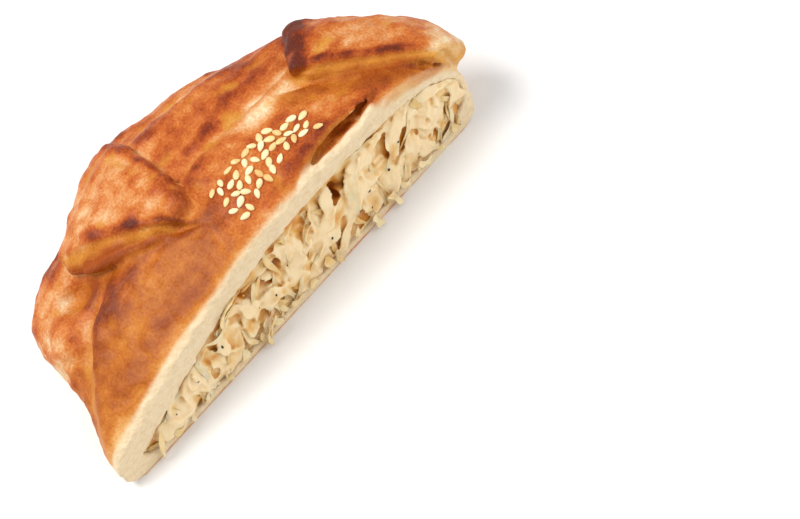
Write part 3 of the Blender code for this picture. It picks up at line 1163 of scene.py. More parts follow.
@dataclass
class Crust:
    """The dough shell with its two folded flaps, halved and hollowed."""

    form: DoughForm = field(default_factory=DoughForm)
    flaps: tuple = (LEFT_FLAP, RIGHT_FLAP)
    dents: tuple = (LEDGE, POCKET, CLEFT)
    finish: BakedCrust = field(default_factory=BakedCrust)
    voxel: float = 0.62
    crease_depth: float = 0.22
    crease_width: float = 0.35
    crease_noise: tuple = (7.5, 4)
    # Bake from 0 to 1: everywhere, on top, on what stands out; less at the cut and low down
    plain_bake: float = 0.34
    top_bake: float = 0.25
    crag_bake: float = 0.34
    cut_fade: float = 0.42
    low_fade: float = 0.16
    base_bake: float = 0.3
    near_cut_bake: float = 0.08
    sheet_bake: float = 0.05
    pooled_gold: float = 0.8
    # Noises, each with its height, width and seed
    wrinkles: tuple = ((0.42, 6.5, 3), (0.2, 2.8, 5), (0.08, 1.3, 6))
    rim_folds: tuple = ((0.8, 4.0, 17),)
    torn_layers: tuple = ((0.5, 2.4, 9),)
    torn_crumb: tuple = ((0.25, 1.5, 8),)
    ragged_up: tuple = ((0.7, 3.2, 21),)
    ragged_along: tuple = ((0.5, 3.2, 22),)
    mottling: tuple = ((0.24, 19.0, 11), (0.14, 7.0, 12), (0.16, 3.4, 16))
    # Browner and paler places: x, y, radius along x, radius along y, how much
    spots: tuple = (
        (-8.0, 17.0, 8.0, 5.0, 0.10),
        (-46.0, 8.0, 10.0, 5.0, 0.16),
        (-45.0, 26.0, 9.0, 6.0, 0.16),
        (-58.0, 3.0, 9.0, 4.0, 0.14),
        (-18.0, 14.0, 12.0, 6.0, 0.10),
        (-13.0, 31.0, 7.0, 5.0, 0.12),
        (27.0, 40.0, 8.0, 6.0, 0.12),
        (12.0, 31.0, 12.0, 4.0, -0.16),
        (24.5, 28.5, 9.0, 4.5, -0.5),
        (-17.0, 49.0, 9.0, 7.0, -0.12),
        (-27.5, 35.0, 6.0, 3.5, 0.25),
        (-24.0, 48.0, 5.0, 5.0, 0.12),
        (-41.0, 49.0, 8.0, 6.0, -0.2),
        (-53.0, 42.0, 8.0, 8.0, -0.22),
        (-50.0, 44.0, 8.0, 6.0, -0.14),
        (28.0, 8.6, 15.0, 1.8, 0.16),
        (-70.0, 3.0, 7.0, 5.0, -0.3),
        (70.0, 4.5, 6.0, 5.0, -0.4),
        (-59.0, 31.0, 8.0, 7.0, -0.12),
        (6.0, 50.0, 12.0, 6.0, -0.1),
    )

    def build(self) -> Thing:
        """Joins, halves and hollows the dough, then gives it its fine relief and colours.

        Returns:
            The finished dough.
        """
        form = self.form
        crust = ball("baked_crust", 200, 120, form.outer_points)
        flaps = [ball(flap.name, 90, 50, partial(flap.points, form=form)) for flap in self.flaps]
        combine(crust, flaps, Join.UNION)
        dents = [ball("dent", 48, 24, partial(dent.points, form=form)) for dent in self.dents]
        hollow = ball("hollow", 64, 26, form.hollow_points)
        knife = form.block("knife", -118.0, 0.0)
        combine(crust, [knife, hollow, *dents], Join.DIFFERENCE)
        remesh(crust, self.voxel)
        mesh = crust.data
        set_positions(mesh, relaxed(mesh, positions(mesh), 3))
        self.roughen(mesh)
        self.brown(mesh)
        dress(mesh, self.finish.make())
        return crust

    def outer_share(self, points: Array) -> Array:
        """Tells the baked outside from cut or inner dough.

        Args:
            points: places in millimetres.

        Returns:
            1 outside and 0 where it is raw.
        """
        x, y, z = points.T
        low, high = self.form.hollow_limits(x, y)
        inside = (z > low - 1.0) & (z < high + 1.0) & (high - low > 1.0)
        # The pale cut edge is wider away from the dip and towards -X, and the folded flap over it
        # is baked all round
        wide = 1.5 * fade(1.0, 1.3, self.dents[0].inside(points, self.form))
        wide = wide + 1.3 * smooth(15.0, 45.0, -x)
        outer = smooth(0.1, 1.9, self.form.behind_cut(points) - wide)
        sheet = fade(1.0, 2.4, self.top_height(points) - z)
        outer = np.maximum(outer, 0.75 * sheet * smooth(42.0, 50.0, x))
        folded = smooth(0.6, 1.8, z - self.top_height(points)) * smooth(52.0, 58.0, x)
        outer = np.maximum(outer, np.maximum(folded, fade(0.5, 1.1, z)))
        return outer * (1.0 - inside)

    def top_height(self, points: Array) -> Array:
        """Height of the dough's top without its flaps."""
        x, y = points[:, 0], points[:, 1]
        return self.form.dome_height(x, y) + self.form.top_relief(x, y) - self.form.cut_roll(x, y)

    def roughen(self, mesh: Mesh) -> None:
        """Adds wrinkles and small blisters outside, and torn crumb where it is cut.

        Args:
            mesh: the dough.
        """
        points = positions(mesh)
        out = normals(mesh)
        outer = self.outer_share(points)
        away = np.abs(lumps(points, *self.crease_noise)) / self.crease_width
        creases = 1.0 - np.minimum(away, 1.0)
        drawn = points * np.array((0.3, 1.0, 1.0))
        folds = uneven(drawn, self.rim_folds) * smooth(16.0, 26.0, points[:, 1])
        skin = uneven(points, self.wrinkles) + folds - self.crease_depth * creases
        torn = uneven(drawn, self.torn_layers) + uneven(points, self.torn_crumb)
        shift = outer * skin + (1.0 - outer) * torn
        for flap in self.flaps:
            on, lip, wall = self.flap_zones(flap, points)
            shift = shift + on * (1.3 * lip * (1.0 - wall) - wall)
        shift = shift * smooth(0.0, 1.2, points[:, 2])
        ragged = (1.0 - outer) * smooth(1.5, 3.0, points[:, 2])
        points[:, 2] += ragged * uneven(points, self.ragged_up)
        points[:, 0] += ragged * uneven(points, self.ragged_along)
        set_positions(mesh, points + out * shift[:, None])

    def flap_zones(self, flap: Flap, points: Array) -> tuple:
        """Shares of a flap, of its browned lip and of the wall below the lip.

        Args:
            flap: the flap.
            points: places in millimetres.

        Returns:
            Three arrays from 0 to about 1.
        """
        reach, across = flap.coordinates(points)
        above = points[:, 2] - self.form.dome_height(points[:, 0], points[:, 1])
        on = smooth(-0.1, 0.05, reach) * smooth(-0.1, 0.1, 1.05 - reach)
        on = on * fade(0.96, 1.06, np.abs(across)) * smooth(1.0, 2.6, above)
        lip = flap.front_bake * ridge(-across, flap.lip, 0.13)
        lip = lip * (smooth(0.1, 0.4, reach) - flap.fading * fade(0.5, 0.95, reach))
        lip = lip + flap.back_bake * ridge(across, 0.85, 0.09)
        lip = np.maximum(lip, flap.tip_bake * ridge(reach, 0.95, 0.09))
        wall = smooth(flap.lip + 0.08, flap.lip + 0.18, -across)
        return on, lip, wall

    def flap_bake(self, points: Array, out: Array) -> tuple[Array, Array]:
        """How much browner the flaps are, with painted shade on the crust under their front edges
        and at the foot of their walls.

        Args:
            points: places in millimetres.
            out: their normals.

        Returns:
            What to add to the bake, painted shade under the flaps' edges and at the foot of their
            walls included, and the share of gold on the flaps' walls and sides and in that
            painted shade under their edges.
        """
        added = np.zeros(len(points))
        gold = np.zeros(len(points))
        patchy = 0.8 + 0.9 * lumps(points, 6.0, 15)
        for flap in self.flaps:
            on, lip, wall = self.flap_zones(flap, points)
            reach, across = flap.coordinates(points)
            top = smooth(0.0, 0.45, out[:, 2])
            low = smooth(flap.lip + 0.2, 0.95, -across)
            added = added + on * (lip * patchy * (1.0 - 0.7 * wall) - 0.16 * top)
            # The walls below the lips are browner, most towards their foot under the overhang:
            # partly baked colour, partly painted shade
            added = added + on * wall * (0.12 + 0.5 * low)
            # Painted shade: the crust in front of and under each flap's front edge is made
            # browner and golden, as a contact shadow
            under = smooth(0.95, 1.05, -across) * fade(1.15, 1.7, -across)
            under = under * smooth(0.1, 0.3, reach) * fade(1.0, 1.15, reach)
            added = added + 0.3 * under
            gold = np.maximum(gold, 0.7 * under)
            gold = np.maximum(gold, on * 0.9 * np.maximum(wall, 1.0 - top))
        return added, gold

    def brown(self, mesh: Mesh) -> None:
        """Stores how baked, golden or raw each point of the dough is.

        Args:
            mesh: the dough.
        """
        points = positions(mesh)
        out = normals(mesh)
        x, y, z = points.T
        outer = self.outer_share(points)
        lift = np.sum((points - relaxed(mesh, points, 60)) * out, axis=1)
        added, gold = self.flap_bake(points, out)
        bake = self.plain_bake + self.top_bake * smooth(-0.1, 0.8, out[:, 2])
        bake = bake + self.crag_bake * np.clip(lift, -0.6, 0.6)
        bake = bake + uneven(points, self.mottling) + added + hills(x, y, self.spots)
        behind = self.form.behind_cut(points)
        pale = 4.5 + 3.5 * smooth(10.0, 50.0, -x)
        bake = bake - self.cut_fade * fade(0.0, 1.0, behind / pale)
        bake = bake - self.low_fade * fade(2.0, 12.0, z)
        bake = bake + self.base_bake * fade(0.3, 1.5, z)
        # Dents change the bake and the gold; in the pocket's deep end and in the cleft the added
        # bake is painted shade
        for dent in self.dents:
            near = fade(1.0, 1.25, dent.inside(points, self.form))
            if not dent.at_cut:
                near = near * smooth(1.6, 3.2, behind)
            bake = bake + near * (dent.bake + dent.deep_end_shade * smooth(*dent.deep_end_span, x))
            gold = gold + (dent.gold - gold) * near
        pooled = smooth(0.14, 0.36, lumps(points, 6.5, 14)) * smooth(-0.2, 0.1, -lift)
        near_cut = smooth(0.0, 20.0, -x) * fade(18.0, 34.0, y)
        bake = bake + self.near_cut_bake * near_cut * smooth(2.0, 7.0, behind)
        sheet = smooth(42.0, 50.0, x) * fade(1.0, 2.4, self.top_height(points) - z)
        sheet = sheet * fade(1.0, 3.0, behind)
        bake = bake + self.sheet_bake * sheet
        for share, most in ((pooled, self.pooled_gold), (near_cut, 0.6), (sheet, 0.6)):
            gold = np.maximum(gold, most * share)
        set_attribute(mesh, "bake", np.clip(bake, 0.0, 1.0))
        set_attribute(mesh, "gold", np.clip(gold, 0.0, 1.0))
        set_attribute(mesh, "crumb", 1.0 - outer)


# Sesame


@dataclass
class SesameTopping:
    """Hulled sesame seeds stuck to the egg wash in an uneven band beside the cut."""

    count: int = 48
    length: float = 3.3
    width: float = 2.0
    thickness: float = 1.1
    spacing: float = 2.6
    proud: float = 0.25
    band: Pair = (-5.0, 28.0)
    band_y: float = 14.5
    band_bow: float = 3.0
    half_width: float = 7.0
    taper: float = 2.5
    place_seed: int = 21
    tone_seed: int = 8
    most_tries: int = 6000
    finish: WetFood = SESAME

    def seed_shape(self) -> Thing:
        """Shapes one seed: a flat drop with its point along X.

        Returns:
            The seed, at the origin.
        """
        mesh = bpy.data.meshes.new("sesame_seed")
        bm = bmesh.new()
        bmesh.ops.create_uvsphere(bm, u_segments=14, v_segments=10, radius=0.5)
        for vertex in bm.verts:
            x, y, z = vertex.co
            narrow = 1.0 - 0.62 * max(0.0, x + 0.15) ** 1.3
            drop = (x * self.length, y * self.width * narrow, z * self.thickness * narrow)
            vertex.co = Vector(drop) * MM
        bm.to_mesh(mesh)
        bm.free()
        return linked("sesame_seed", mesh)

    def places(self, surface: BVHTree) -> tuple[list, list]:
        """Places and normals on the crust.

        Args:
            surface: the crust.

        Returns:
            Two lists of vectors.
        """
        draw = random.Random(self.place_seed)
        spots: list[Vector] = []
        ups: list[Vector] = []
        tries = 0
        while len(spots) < self.count and tries < self.most_tries:
            tries += 1
            along = draw.random()
            x = self.band[0] + (self.band[1] - self.band[0]) * along
            middle = self.band_y + self.band_bow * math.sin(math.pi * along)
            y = middle + (self.half_width - self.taper * along) * draw.uniform(-1.0, 1.0)
            start = Vector(placed(np.array([(x, y, 80.0)]))[0])
            hit, normal, _, _ = surface.ray_cast(start, Vector((0.0, 0.0, -1.0)))
            along_dip = (x - LEDGE.x) / (LEDGE.half_length + 1.0)
            across_dip = (y - LEDGE.y) / (LEDGE.half_width + 2.0)
            near = any((other - hit).length < self.spacing * MM for other in spots)
            if near or math.hypot(along_dip, across_dip) < 1.0:
                continue
            spots.append(hit)
            ups.append(normal)
        return spots, ups

    def scatter_tree(self) -> Tree:
        """Puts one seed on each point, lying on the crust and turned at random.

        Returns:
            The node tree.
        """
        sockets = {"Seed": "Object", "Smallest": "Float", "Largest": "Float"}
        tree, add, given = new_tree("sesame scatter", sockets)
        up = stored(add, "up", "FLOAT_VECTOR")
        lie = add("FunctionNodeAlignRotationToVector", {"Vector": up}, axis="Z")
        span = {0: (-0.12, -0.12, 0.0), 1: (0.12, 0.12, 2.0 * math.pi), "Seed": 5}
        spin = add("FunctionNodeRandomValue", span, data_type="FLOAT_VECTOR")
        turn = add("FunctionNodeEulerToRotation", {0: spin})
        lying = add("FunctionNodeRotateRotation", {0: lie, 1: turn}, rotation_space="LOCAL")
        sizes = {2: given["Smallest"], 3: given["Largest"], "Seed": 6}
        size = add("FunctionNodeRandomValue", sizes, out=1, data_type="FLOAT")
        seed = add("GeometryNodeObjectInfo", {"Object": given["Seed"]}, out="Geometry")
        places = {"Points": given["Geometry"], "Instance": seed, "Rotation": lying, "Scale": size}
        close_tree(tree, add("GeometryNodeInstanceOnPoints", places), given["Material"])
        return tree

    def build(self, crust: Thing) -> Thing:
        """Seeds on the crust.

        Args:
            crust: the finished dough.

        Returns:
            One object with every seed.
        """
        spots, ups = self.places(surface_of([crust]))
        mesh = bpy.data.meshes.new("seed_points")
        mesh.from_pydata([hit + up * self.proud * MM for hit, up in zip(spots, ups)], [], [])
        draw = random.Random(self.tone_seed)
        set_attribute(mesh, "up", np.array([up[:] for up in ups]))
        set_attribute(mesh, "tone", np.array([draw.uniform(0.0, 0.8) for _ in ups]))
        points = linked("sesame_seeds", mesh)
        seed = self.seed_shape()
        values = {"Seed": seed, "Smallest": 0.85, "Largest": 1.08, "Material": self.finish.make()}
        grow(points, self.scatter_tree(), values)
        bpy.data.objects.remove(seed)
        return points


# Filling


@dataclass(frozen=True)
class Leaf:
    """A piece of cabbage that shows at the cut, from one X and Z to another, in millimetres."""

    start: Pair
    end: Pair
    half: float
    depth: float
    bow: float
    tilt: float
    tone: float


def leaves(*rows: Sequence[float]) -> tuple:
    """Pieces from rows of their numbers."""
    return tuple(Leaf((row[0], row[1]), (row[2], row[3]), *row[4:]) for row in rows)


# The larger pieces, from the -X end to the +X end: X and Z of both ends, half width, depth, bow,
# tilt and tone
LEAVES = leaves(
    (-61.0, 13.0, -55.0, 5.0, 2.4, 2.0, 1.0, 0.2, 0.1),
    (-56.0, 16.0, -52.0, 5.0, 2.4, 1.0, -1.0, 0.3, 0.3),
    (-54.0, 4.5, -44.0, 6.0, 1.6, 0.4, 1.0, -0.3, 0.5),
    (-47.0, 20.0, -42.0, 5.0, 3.6, 0.6, 1.5, 0.1, 0.0),
    (-38.0, 21.0, -32.0, 11.0, 3.0, 1.2, -1.0, -0.2, 0.5),
    (-36.0, 10.0, -28.0, 5.0, 2.4, 0.8, 1.0, 0.3, 0.3),
    (-31.0, 24.0, -28.0, 8.0, 2.0, -0.2, -2.0, 0.2, 0.0),
    (-26.0, 26.0, -21.0, 16.0, 3.0, 0.8, 2.0, -0.2, 0.05),
    (-27.0, 12.0, -19.0, 8.0, 2.4, 0.4, 1.0, 0.2, 0.3),
    (-19.0, 27.5, 3.0, 28.0, 2.3, 0.8, -1.5, 0.3, 0.55),
    (-18.0, 16.0, -6.0, 10.0, 4.4, 0.2, 1.5, 0.1, 0.0),
    (1.5, 20.0, -2.0, 7.0, 4.0, 0.0, -1.5, -0.2, 0.05),
    (-15.0, 9.0, -20.0, 3.5, 2.6, 0.6, 0.5, 0.2, 0.5),
    (12.0, 31.0, 5.0, 22.0, 2.2, 0.8, 1.0, 0.3, 0.35),
    (9.0, 20.0, 6.0, 6.0, 3.4, 1.0, 1.0, 0.1, 0.2),
    (18.0, 33.0, 15.0, 16.0, 2.9, 0.2, -1.0, 0.15, 0.05),
    (26.5, 31.0, 20.0, 9.0, 3.0, 0.0, 1.5, -0.3, 0.5),
    (23.0, 33.5, 45.0, 30.5, 2.2, 0.6, 1.0, 0.25, 0.55),
    (24.0, 17.0, 31.0, 4.0, 4.2, 0.3, 1.0, 0.1, 0.2),
    (30.0, 25.0, 35.0, 15.0, 2.4, 0.2, -1.0, 0.3, 0.1),
    (42.0, 30.0, 38.0, 15.0, 2.3, 0.4, 1.5, 0.3, 0.25),
    (49.0, 30.0, 41.0, 15.0, 2.6, 0.0, -2.0, -0.1, 0.1),
    (36.0, 12.0, 45.0, 5.0, 3.6, 0.4, 1.0, 0.1, 0.3),
    (52.0, 27.0, 61.0, 7.0, 4.2, 0.9, 1.0, 0.2, 0.15),
    (46.0, 18.0, 55.0, 6.0, 3.0, 0.0, -1.0, 0.1, 0.0),
    (49.0, 28.5, 62.0, 18.0, 2.2, 0.2, 0.8, 0.35, 0.1),
    (51.0, 31.5, 65.0, 23.0, 2.2, 0.0, 0.8, 0.35, 0.2),
    (52.0, 34.0, 66.0, 26.0, 1.8, -0.2, 0.6, 0.4, 0.1),
)

# Ends that hang out over the base, in the same way
ENDS = leaves(
    (-59.5, 15.0, -64.0, 0.8, 1.1, -1.3, 1.0, 0.2, 0.1),
    (-14.5, 10.0, -19.5, 1.0, 1.5, -2.2, -1.0, 0.3, 0.15),
    (-17.0, 6.0, -21.0, 1.2, 0.8, -1.8, 0.5, 0.2, 0.15),
    (33.0, 8.0, 37.0, 1.2, 1.3, -1.6, 0.5, 0.4, 0.05),
    (26.0, 6.0, 29.0, 1.2, 1.3, -1.8, -0.5, 0.3, 0.1),
    (47.0, 8.0, 52.0, 1.5, 1.4, -1.4, 0.5, 0.3, 0.05),
    (10.0, 26.0, 5.0, 17.0, 1.1, -0.3, -2.0, 0.5, 0.2),
)

# Deep gaps between the pieces, pushed back and given a deeper painted shade: X, Z, half length
# along each
GAPS = (
    (20.5, 24.0, 2.2, 7.0),
    (-9.0, 22.5, 4.0, 3.0),
    (-17.0, 23.0, 3.0, 1.6),
    (10.0, 15.0, 2.0, 3.5),
    (56.0, 12.0, 3.0, 2.5),
    (-34.0, 25.0, 3.5, 1.4),
    (-50.0, 17.0, 2.0, 2.0),
    (-58.0, 12.0, 1.6, 2.2),
)


# Specks of pepper: X and Z on the cut
PEPPER_PLACES = (
    (38.2, 13.5),
    (29.3, 13.7),
    (28.2, 5.7),
    (-10.6, 12.5),
    (-16.5, 14.3),
    (-31.8, 14.9),
    (-53.1, 7.9),
    (44.0, 21.0),
    (-3.0, 19.0),
    (12.5, 11.0),
    (-43.0, 11.5),
)


@dataclass
class CabbageFilling:
    """Stewed cabbage: a packed core, and strips and leaf pieces at the cut."""

    form: DoughForm = field(default_factory=DoughForm)
    gap: float = 0.35
    front: float = 1.1
    thickness: float = 5.0
    voxel: float = 0.4
    sheets: int = 110
    strips: int = 64
    ends: int = 18
    stations: int = 14
    # Noises, each with its height, width and seed
    relief: tuple = ((0.6, 9.0, 31), (0.12, 2.5, 32))
    fibres: tuple = ((0.16, 2.2, 33),)
    draw_seed: int = 51
    strip_seed: int = 52
    sheet_seed: int = 53
    end_seed: int = 54
    pepper_seed: int = 77
    pepper: tuple = PEPPER_PLACES

    def slab(self, name: str, near: float, far: float) -> Thing:
        """A part of the filling.

        Args:
            name: the object's name.
            near: distance of its front behind the cut in millimetres.
            far: distance of its back.

        Returns:
            The object.
        """
        slab = ball(name, 96, 48, partial(self.form.hollow_points, gap=self.gap))
        combine(slab, [self.form.block("block", near, far)], Join.INTERSECT)
        return slab

    def core(self, material: Material) -> Thing:
        """The cabbage that lies deeper than can be seen.

        Args:
            material: its finish.

        Returns:
            The object.
        """
        core = self.slab("cabbage_core", self.front + self.thickness + 0.2, 95.0)
        remesh(core, 1.4)
        # Painted shade: a deeper ochre tone than the front, for the cabbage that shows through
        # the gaps
        set_attribute(core.data, "tone", np.full(len(core.data.vertices), 0.6))
        dress(core.data, material)
        return core

    def packed(self, pieces: Sequence[Leaf], material: Material) -> Thing:
        """The cabbage at the cut, pressed together into one mass.

        Args:
            pieces: the leaf pieces that stand out of it.
            material: its finish.

        Returns:
            The object.
        """
        mass = self.slab("packed_cabbage", self.front, self.front + self.thickness)
        sheets = self.ribbons("sheets", pieces, Cut.LEAF, self.sheet_seed, material)
        bm = joined([mass, sheets])
        bm.to_mesh(mass.data)
        bm.free()
        bpy.data.objects.remove(sheets)
        remesh(mass, self.voxel)
        mesh = mass.data
        points = relaxed(mesh, positions(mesh), 1)
        set_positions(mesh, points)
        out = normals(mesh)
        behind = self.form.behind_cut(points)
        face = fade(1.2, 2.5, behind - self.front)
        fibres = uneven(points * np.array((1.0, 1.0, 0.3)), self.fibres)
        shift = face * (uneven(points, self.relief) + fibres)
        points = points + out * shift[:, None]
        hole = np.zeros(len(points))
        for gap in GAPS:
            hole = np.maximum(hole, bump_at(points[:, 0], points[:, 2], gap))
        hole = hole * face * smooth(-0.9, 0.1, behind - self.front)
        points[:, 1] += 3.0 * hole
        set_positions(mesh, points)
        lift = np.sum((points - relaxed(mesh, points, 24)) * normals(mesh), axis=1)
        # Painted shade: the tone, and with it a deeper ochre, grows with depth behind the cut, in
        # crevices and in the deep gaps; bumps that stand out are paler
        tone = 0.32 + 0.2 * (behind - 1.0) - 0.7 * np.clip(lift, -0.7, 0.7) + 0.5 * hole
        set_attribute(mesh, "tone", np.clip(tone + 0.4 * lumps(points, 8.0, 34), 0.0, 1.1))
        dress(mesh, material)
        return mass

    def loose_strip(self, draw: random.Random, cut: Cut) -> Leaf:
        """A strip or leaf piece that lies anywhere at the cut, but in none of the gaps.

        Args:
            draw: where its random numbers come from.
            cut: a strip or a leaf piece.

        Returns:
            Its ends, width and turn.
        """
        leaf = cut is Cut.LEAF
        while True:
            x = draw.uniform(-61.0, 67.0)
            low, high = self.form.hollow_limits(np.array(x), np.array(0.5), self.gap)
            z = float(low) + draw.uniform(0.05, 0.95) * float(high - low)
            if all(math.hypot((x - g[0]) / g[2], (z - g[1]) / g[3]) > 1.2 for g in GAPS):
                break
        flow = 1.35 + 0.9 * noise.noise(Vector((x, 0.0, z)) / 16.0)
        heading = draw.gauss(flow, 0.28) if draw.random() < 0.85 else draw.uniform(0.0, math.pi)
        reach = (draw.uniform(11.0, 19.0) if leaf else draw.uniform(11.0, 21.0)) / 2.0
        off = (math.cos(heading) * reach, math.sin(heading) * reach)
        return Leaf(
            start=(x + off[0], z + off[1]),
            end=(x - off[0], z - off[1]),
            half=draw.uniform(2.2, 4.4) if leaf else draw.uniform(0.6, 1.3),
            depth=draw.uniform(0.3, 1.4) if leaf else draw.uniform(0.1, 0.7),
            bow=draw.uniform(-2.2, 2.2),
            tilt=draw.gauss(0.08, 0.16 if leaf else 0.2),
            tone=draw.uniform(0.0, 0.3),
        )

    def hanging_end(self, draw: random.Random, x: float) -> Leaf:
        """A short end that lies over the edge of the base.

        Args:
            draw: where its random numbers come from.
            x: about where it lies along the cut.

        Returns:
            Its ends, width and turn.
        """
        x = x + draw.uniform(-2.5, 2.5)
        return Leaf(
            start=(x, draw.uniform(5.5, 8.0)),
            end=(x + draw.uniform(-4.0, 4.0), draw.uniform(1.2, 3.2)),
            half=draw.uniform(0.7, 1.7),
            depth=draw.uniform(-0.9, -0.5),
            bow=draw.uniform(-1.0, 1.0),
            tilt=draw.gauss(0.1, 0.2),
            tone=draw.uniform(0.0, 0.2),
        )

    def path(self, draw: random.Random, piece: Leaf) -> tuple[list, list, list]:
        """Where a piece of cabbage runs.

        Args:
            draw: where its random numbers come from.
            piece: its ends, width and turn.

        Returns:
            Points along it in millimetres, directions across it, and half widths.
        """
        start = np.array((piece.start[0], 0.0, piece.start[1]))
        run = np.array((piece.end[0], 0.0, piece.end[1])) - start
        flow = run / np.linalg.norm(run)
        flat = np.array((-flow[2], 0.0, flow[0]))
        face = np.array((0.0, 1.0, 0.0))
        twist = draw.uniform(-0.5, 0.5)
        wave = draw.uniform(0.0, 2.0 * math.pi)
        ragged = draw.uniform(0.1, 0.3)
        points, sides, halves = [], [], []
        for station in range(self.stations):
            share = station / (self.stations - 1)
            tilt = piece.tilt + twist * (share - 0.5)
            aside = piece.bow * math.sin(math.pi * share) + 0.5 * math.sin(wave + 7.0 * share)
            depth = piece.depth + 0.45 * math.sin(wave + 5.0 * share)
            points.append(self.kept_inside(start + run * share + flat * aside, depth, piece.half))
            sides.append(math.cos(tilt) * flat + math.sin(tilt) * face)
            round_end = math.sin(math.pi * min(max(share, 0.06), 0.94)) ** 0.4
            notch = ragged * (math.sin(2.0 * wave + 11.0 * share) - 0.5)
            halves.append(piece.half * (round_end + notch))
        return points, sides, halves

    def kept_inside(self, point: Array, depth: float, half: float) -> Array:
        """Moves a point into the hollow.

        Args:
            point: the point in millimetres.
            depth: how far behind the cut it has to be.
            half: half width of the piece that runs through it.

        Returns:
            The moved point.
        """
        x = min(max(point[0], -65.0), 68.5)
        y = self.form.cut_y + self.form.cut_lean * point[2] + depth
        low, high = self.form.hollow_limits(np.array(x), np.array(max(y, 0.0)), self.gap)
        room = min(0.4 * half, 0.45 * float(high - low))
        low = 0.8 if depth < -1.0 else float(low) + room
        z = min(max(point[2], low), float(high) - room)
        return np.array((x, self.form.cut_y + self.form.cut_lean * z + depth, z))

    def ribbon_tree(self) -> Tree:
        """Turns lines into thin curled ribbons with a ripple.

        Returns:
            The node tree.
        """
        sizes = dict.fromkeys(("Thickness", "Curl", "Ripple", "Ripple Scale"), "Float")
        tree, add, given = new_tree("cabbage ribbons", sizes)
        line = add("GeometryNodeMeshToCurve", {"Mesh": given["Geometry"]})
        across = stored(add, "across", "FLOAT_VECTOR")
        turned = add("GeometryNodeSetCurveNormal", {"Curve": line, "Normal": across}, mode="FREE")
        half = stored(add, "half_width", "FLOAT")
        # The section: a circle pressed flat and arched
        ring = add("GeometryNodeCurvePrimitiveCircle", {"Resolution": 10, "Radius": 1.0})
        place = add("GeometryNodeInputPosition")
        x, y = (add("ShaderNodeSeparateXYZ", {0: place}, out=axis) for axis in (0, 1))
        flat = maths(add, "MULTIPLY", y, given["Thickness"])
        arch = maths(add, "MULTIPLY_ADD", maths(add, "MULTIPLY", x, x), given["Curl"], flat)
        shape = add("ShaderNodeCombineXYZ", {0: x, 1: arch})
        profile = add("GeometryNodeSetPosition", {"Geometry": ring, "Position": shape})
        swept = {"Curve": turned, "Profile Curve": profile, "Scale": half, "Fill Caps": True}
        strip = add("GeometryNodeCurveToMesh", swept)
        waves = {"Scale": given["Ripple Scale"], "Detail": 1.5}
        ripple = add("ShaderNodeTexNoise", waves, out="Color")
        centred = add("ShaderNodeVectorMath", {0: ripple, 1: (0.5,) * 3}, operation="SUBTRACT")
        depth = {0: centred, "Scale": given["Ripple"]}
        offset = add("ShaderNodeVectorMath", depth, operation="SCALE")
        rippled = add("GeometryNodeSetPosition", {"Geometry": strip, "Offset": offset})
        close_tree(tree, rippled, given["Material"])
        return tree

    def ribbons(
        self, name: str, pieces: Sequence[Leaf], cut: Cut, seed: int, material: Material
    ) -> Thing:
        """Many strips or leaf pieces as one object.

        Args:
            name: the object's name.
            pieces: where they run.
            cut: strips or leaf pieces.
            seed: which random waves.
            material: their finish.

        Returns:
            The object.
        """
        draw = random.Random(seed)
        points, sides, halves, tones, edges = [], [], [], [], []
        for piece in pieces:
            first = len(points)
            path, across, half = self.path(draw, piece)
            points += path
            sides += across
            halves += half
            tones += [piece.tone] * len(path)
            edges += [(first + i, first + i + 1) for i in range(len(path) - 1)]
        mesh = bpy.data.meshes.new(name)
        mesh.from_pydata(placed(np.array(points)).tolist(), edges, [])
        set_attribute(mesh, "across", np.array(sides))
        set_attribute(mesh, "half_width", np.array(halves) * MM)
        set_attribute(mesh, "tone", np.array(tones))
        made = linked(name, mesh)
        leaf = cut is Cut.LEAF
        values = {
            "Thickness": 0.16 if leaf else 0.24,
            "Curl": 0.22 if leaf else 0.3,
            "Ripple": (1.3 if leaf else 1.0) * MM,
            "Ripple Scale": 1.0 / (7.0 * MM),
            "Material": material,
        }
        grow(made, self.ribbon_tree(), values)
        set_positions(made.data, positions(made.data))
        return made

    def build(self) -> list[Thing]:
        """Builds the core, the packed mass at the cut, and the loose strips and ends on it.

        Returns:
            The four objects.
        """
        cabbage = STEWED_CABBAGE.make()
        draw = random.Random(self.draw_seed)
        sheets = [self.loose_strip(draw, Cut.LEAF) for _ in range(self.sheets)]
        strips = [self.loose_strip(draw, Cut.STRIP) for _ in range(self.strips)]
        hanging = [self.hanging_end(draw, share) for share in np.linspace(-57.0, 62.0, self.ends)]
        return [
            self.core(cabbage),
            self.packed((*LEAVES, *sheets), cabbage),
            self.ribbons("cabbage_strips", strips, Cut.STRIP, self.strip_seed, cabbage),
            self.ribbons("cabbage_ends", (*ENDS, *hanging), Cut.LEAF, self.end_seed, cabbage),
        ]

    def specks(self, shown: Sequence[Thing]) -> Thing:
        """Pepper specks on the cabbage.

        Args:
            shown: the pieces they lie on.

        Returns:
            One object with every speck.
        """
        surface = surface_of(shown)
        draw = random.Random(self.pepper_seed)
        made = bmesh.new()
        for x, z in self.pepper:
            start = Vector(placed(np.array([(x, -40.0, z + 55.0)]))[0])
            toward = Vector((0.0, 40.0, -55.0)).normalized()
            hit, normal, _, _ = surface.ray_cast(start, toward)
            if hit is None:
                continue
            size = draw.uniform(0.6, 1.2) * MM
            spin = Matrix.Rotation(draw.uniform(0.0, math.pi), 4, "Z")
            turn = normal.to_track_quat("Z", "Y").to_matrix().to_4x4() @ spin
            shape = Matrix.Diagonal((size * draw.uniform(0.8, 1.5), size * 0.8, size * 0.45, 1.0))
            place = Matrix.Translation(hit) @ turn @ shape
            bmesh.ops.create_icosphere(made, subdivisions=1, radius=0.5, matrix=place)
        mesh = bpy.data.meshes.new("pepper_specks")
        made.to_mesh(mesh)
        made.free()
        mesh.materials.append(PEPPER.make())
        return linked("pepper_specks", mesh)


# Studio


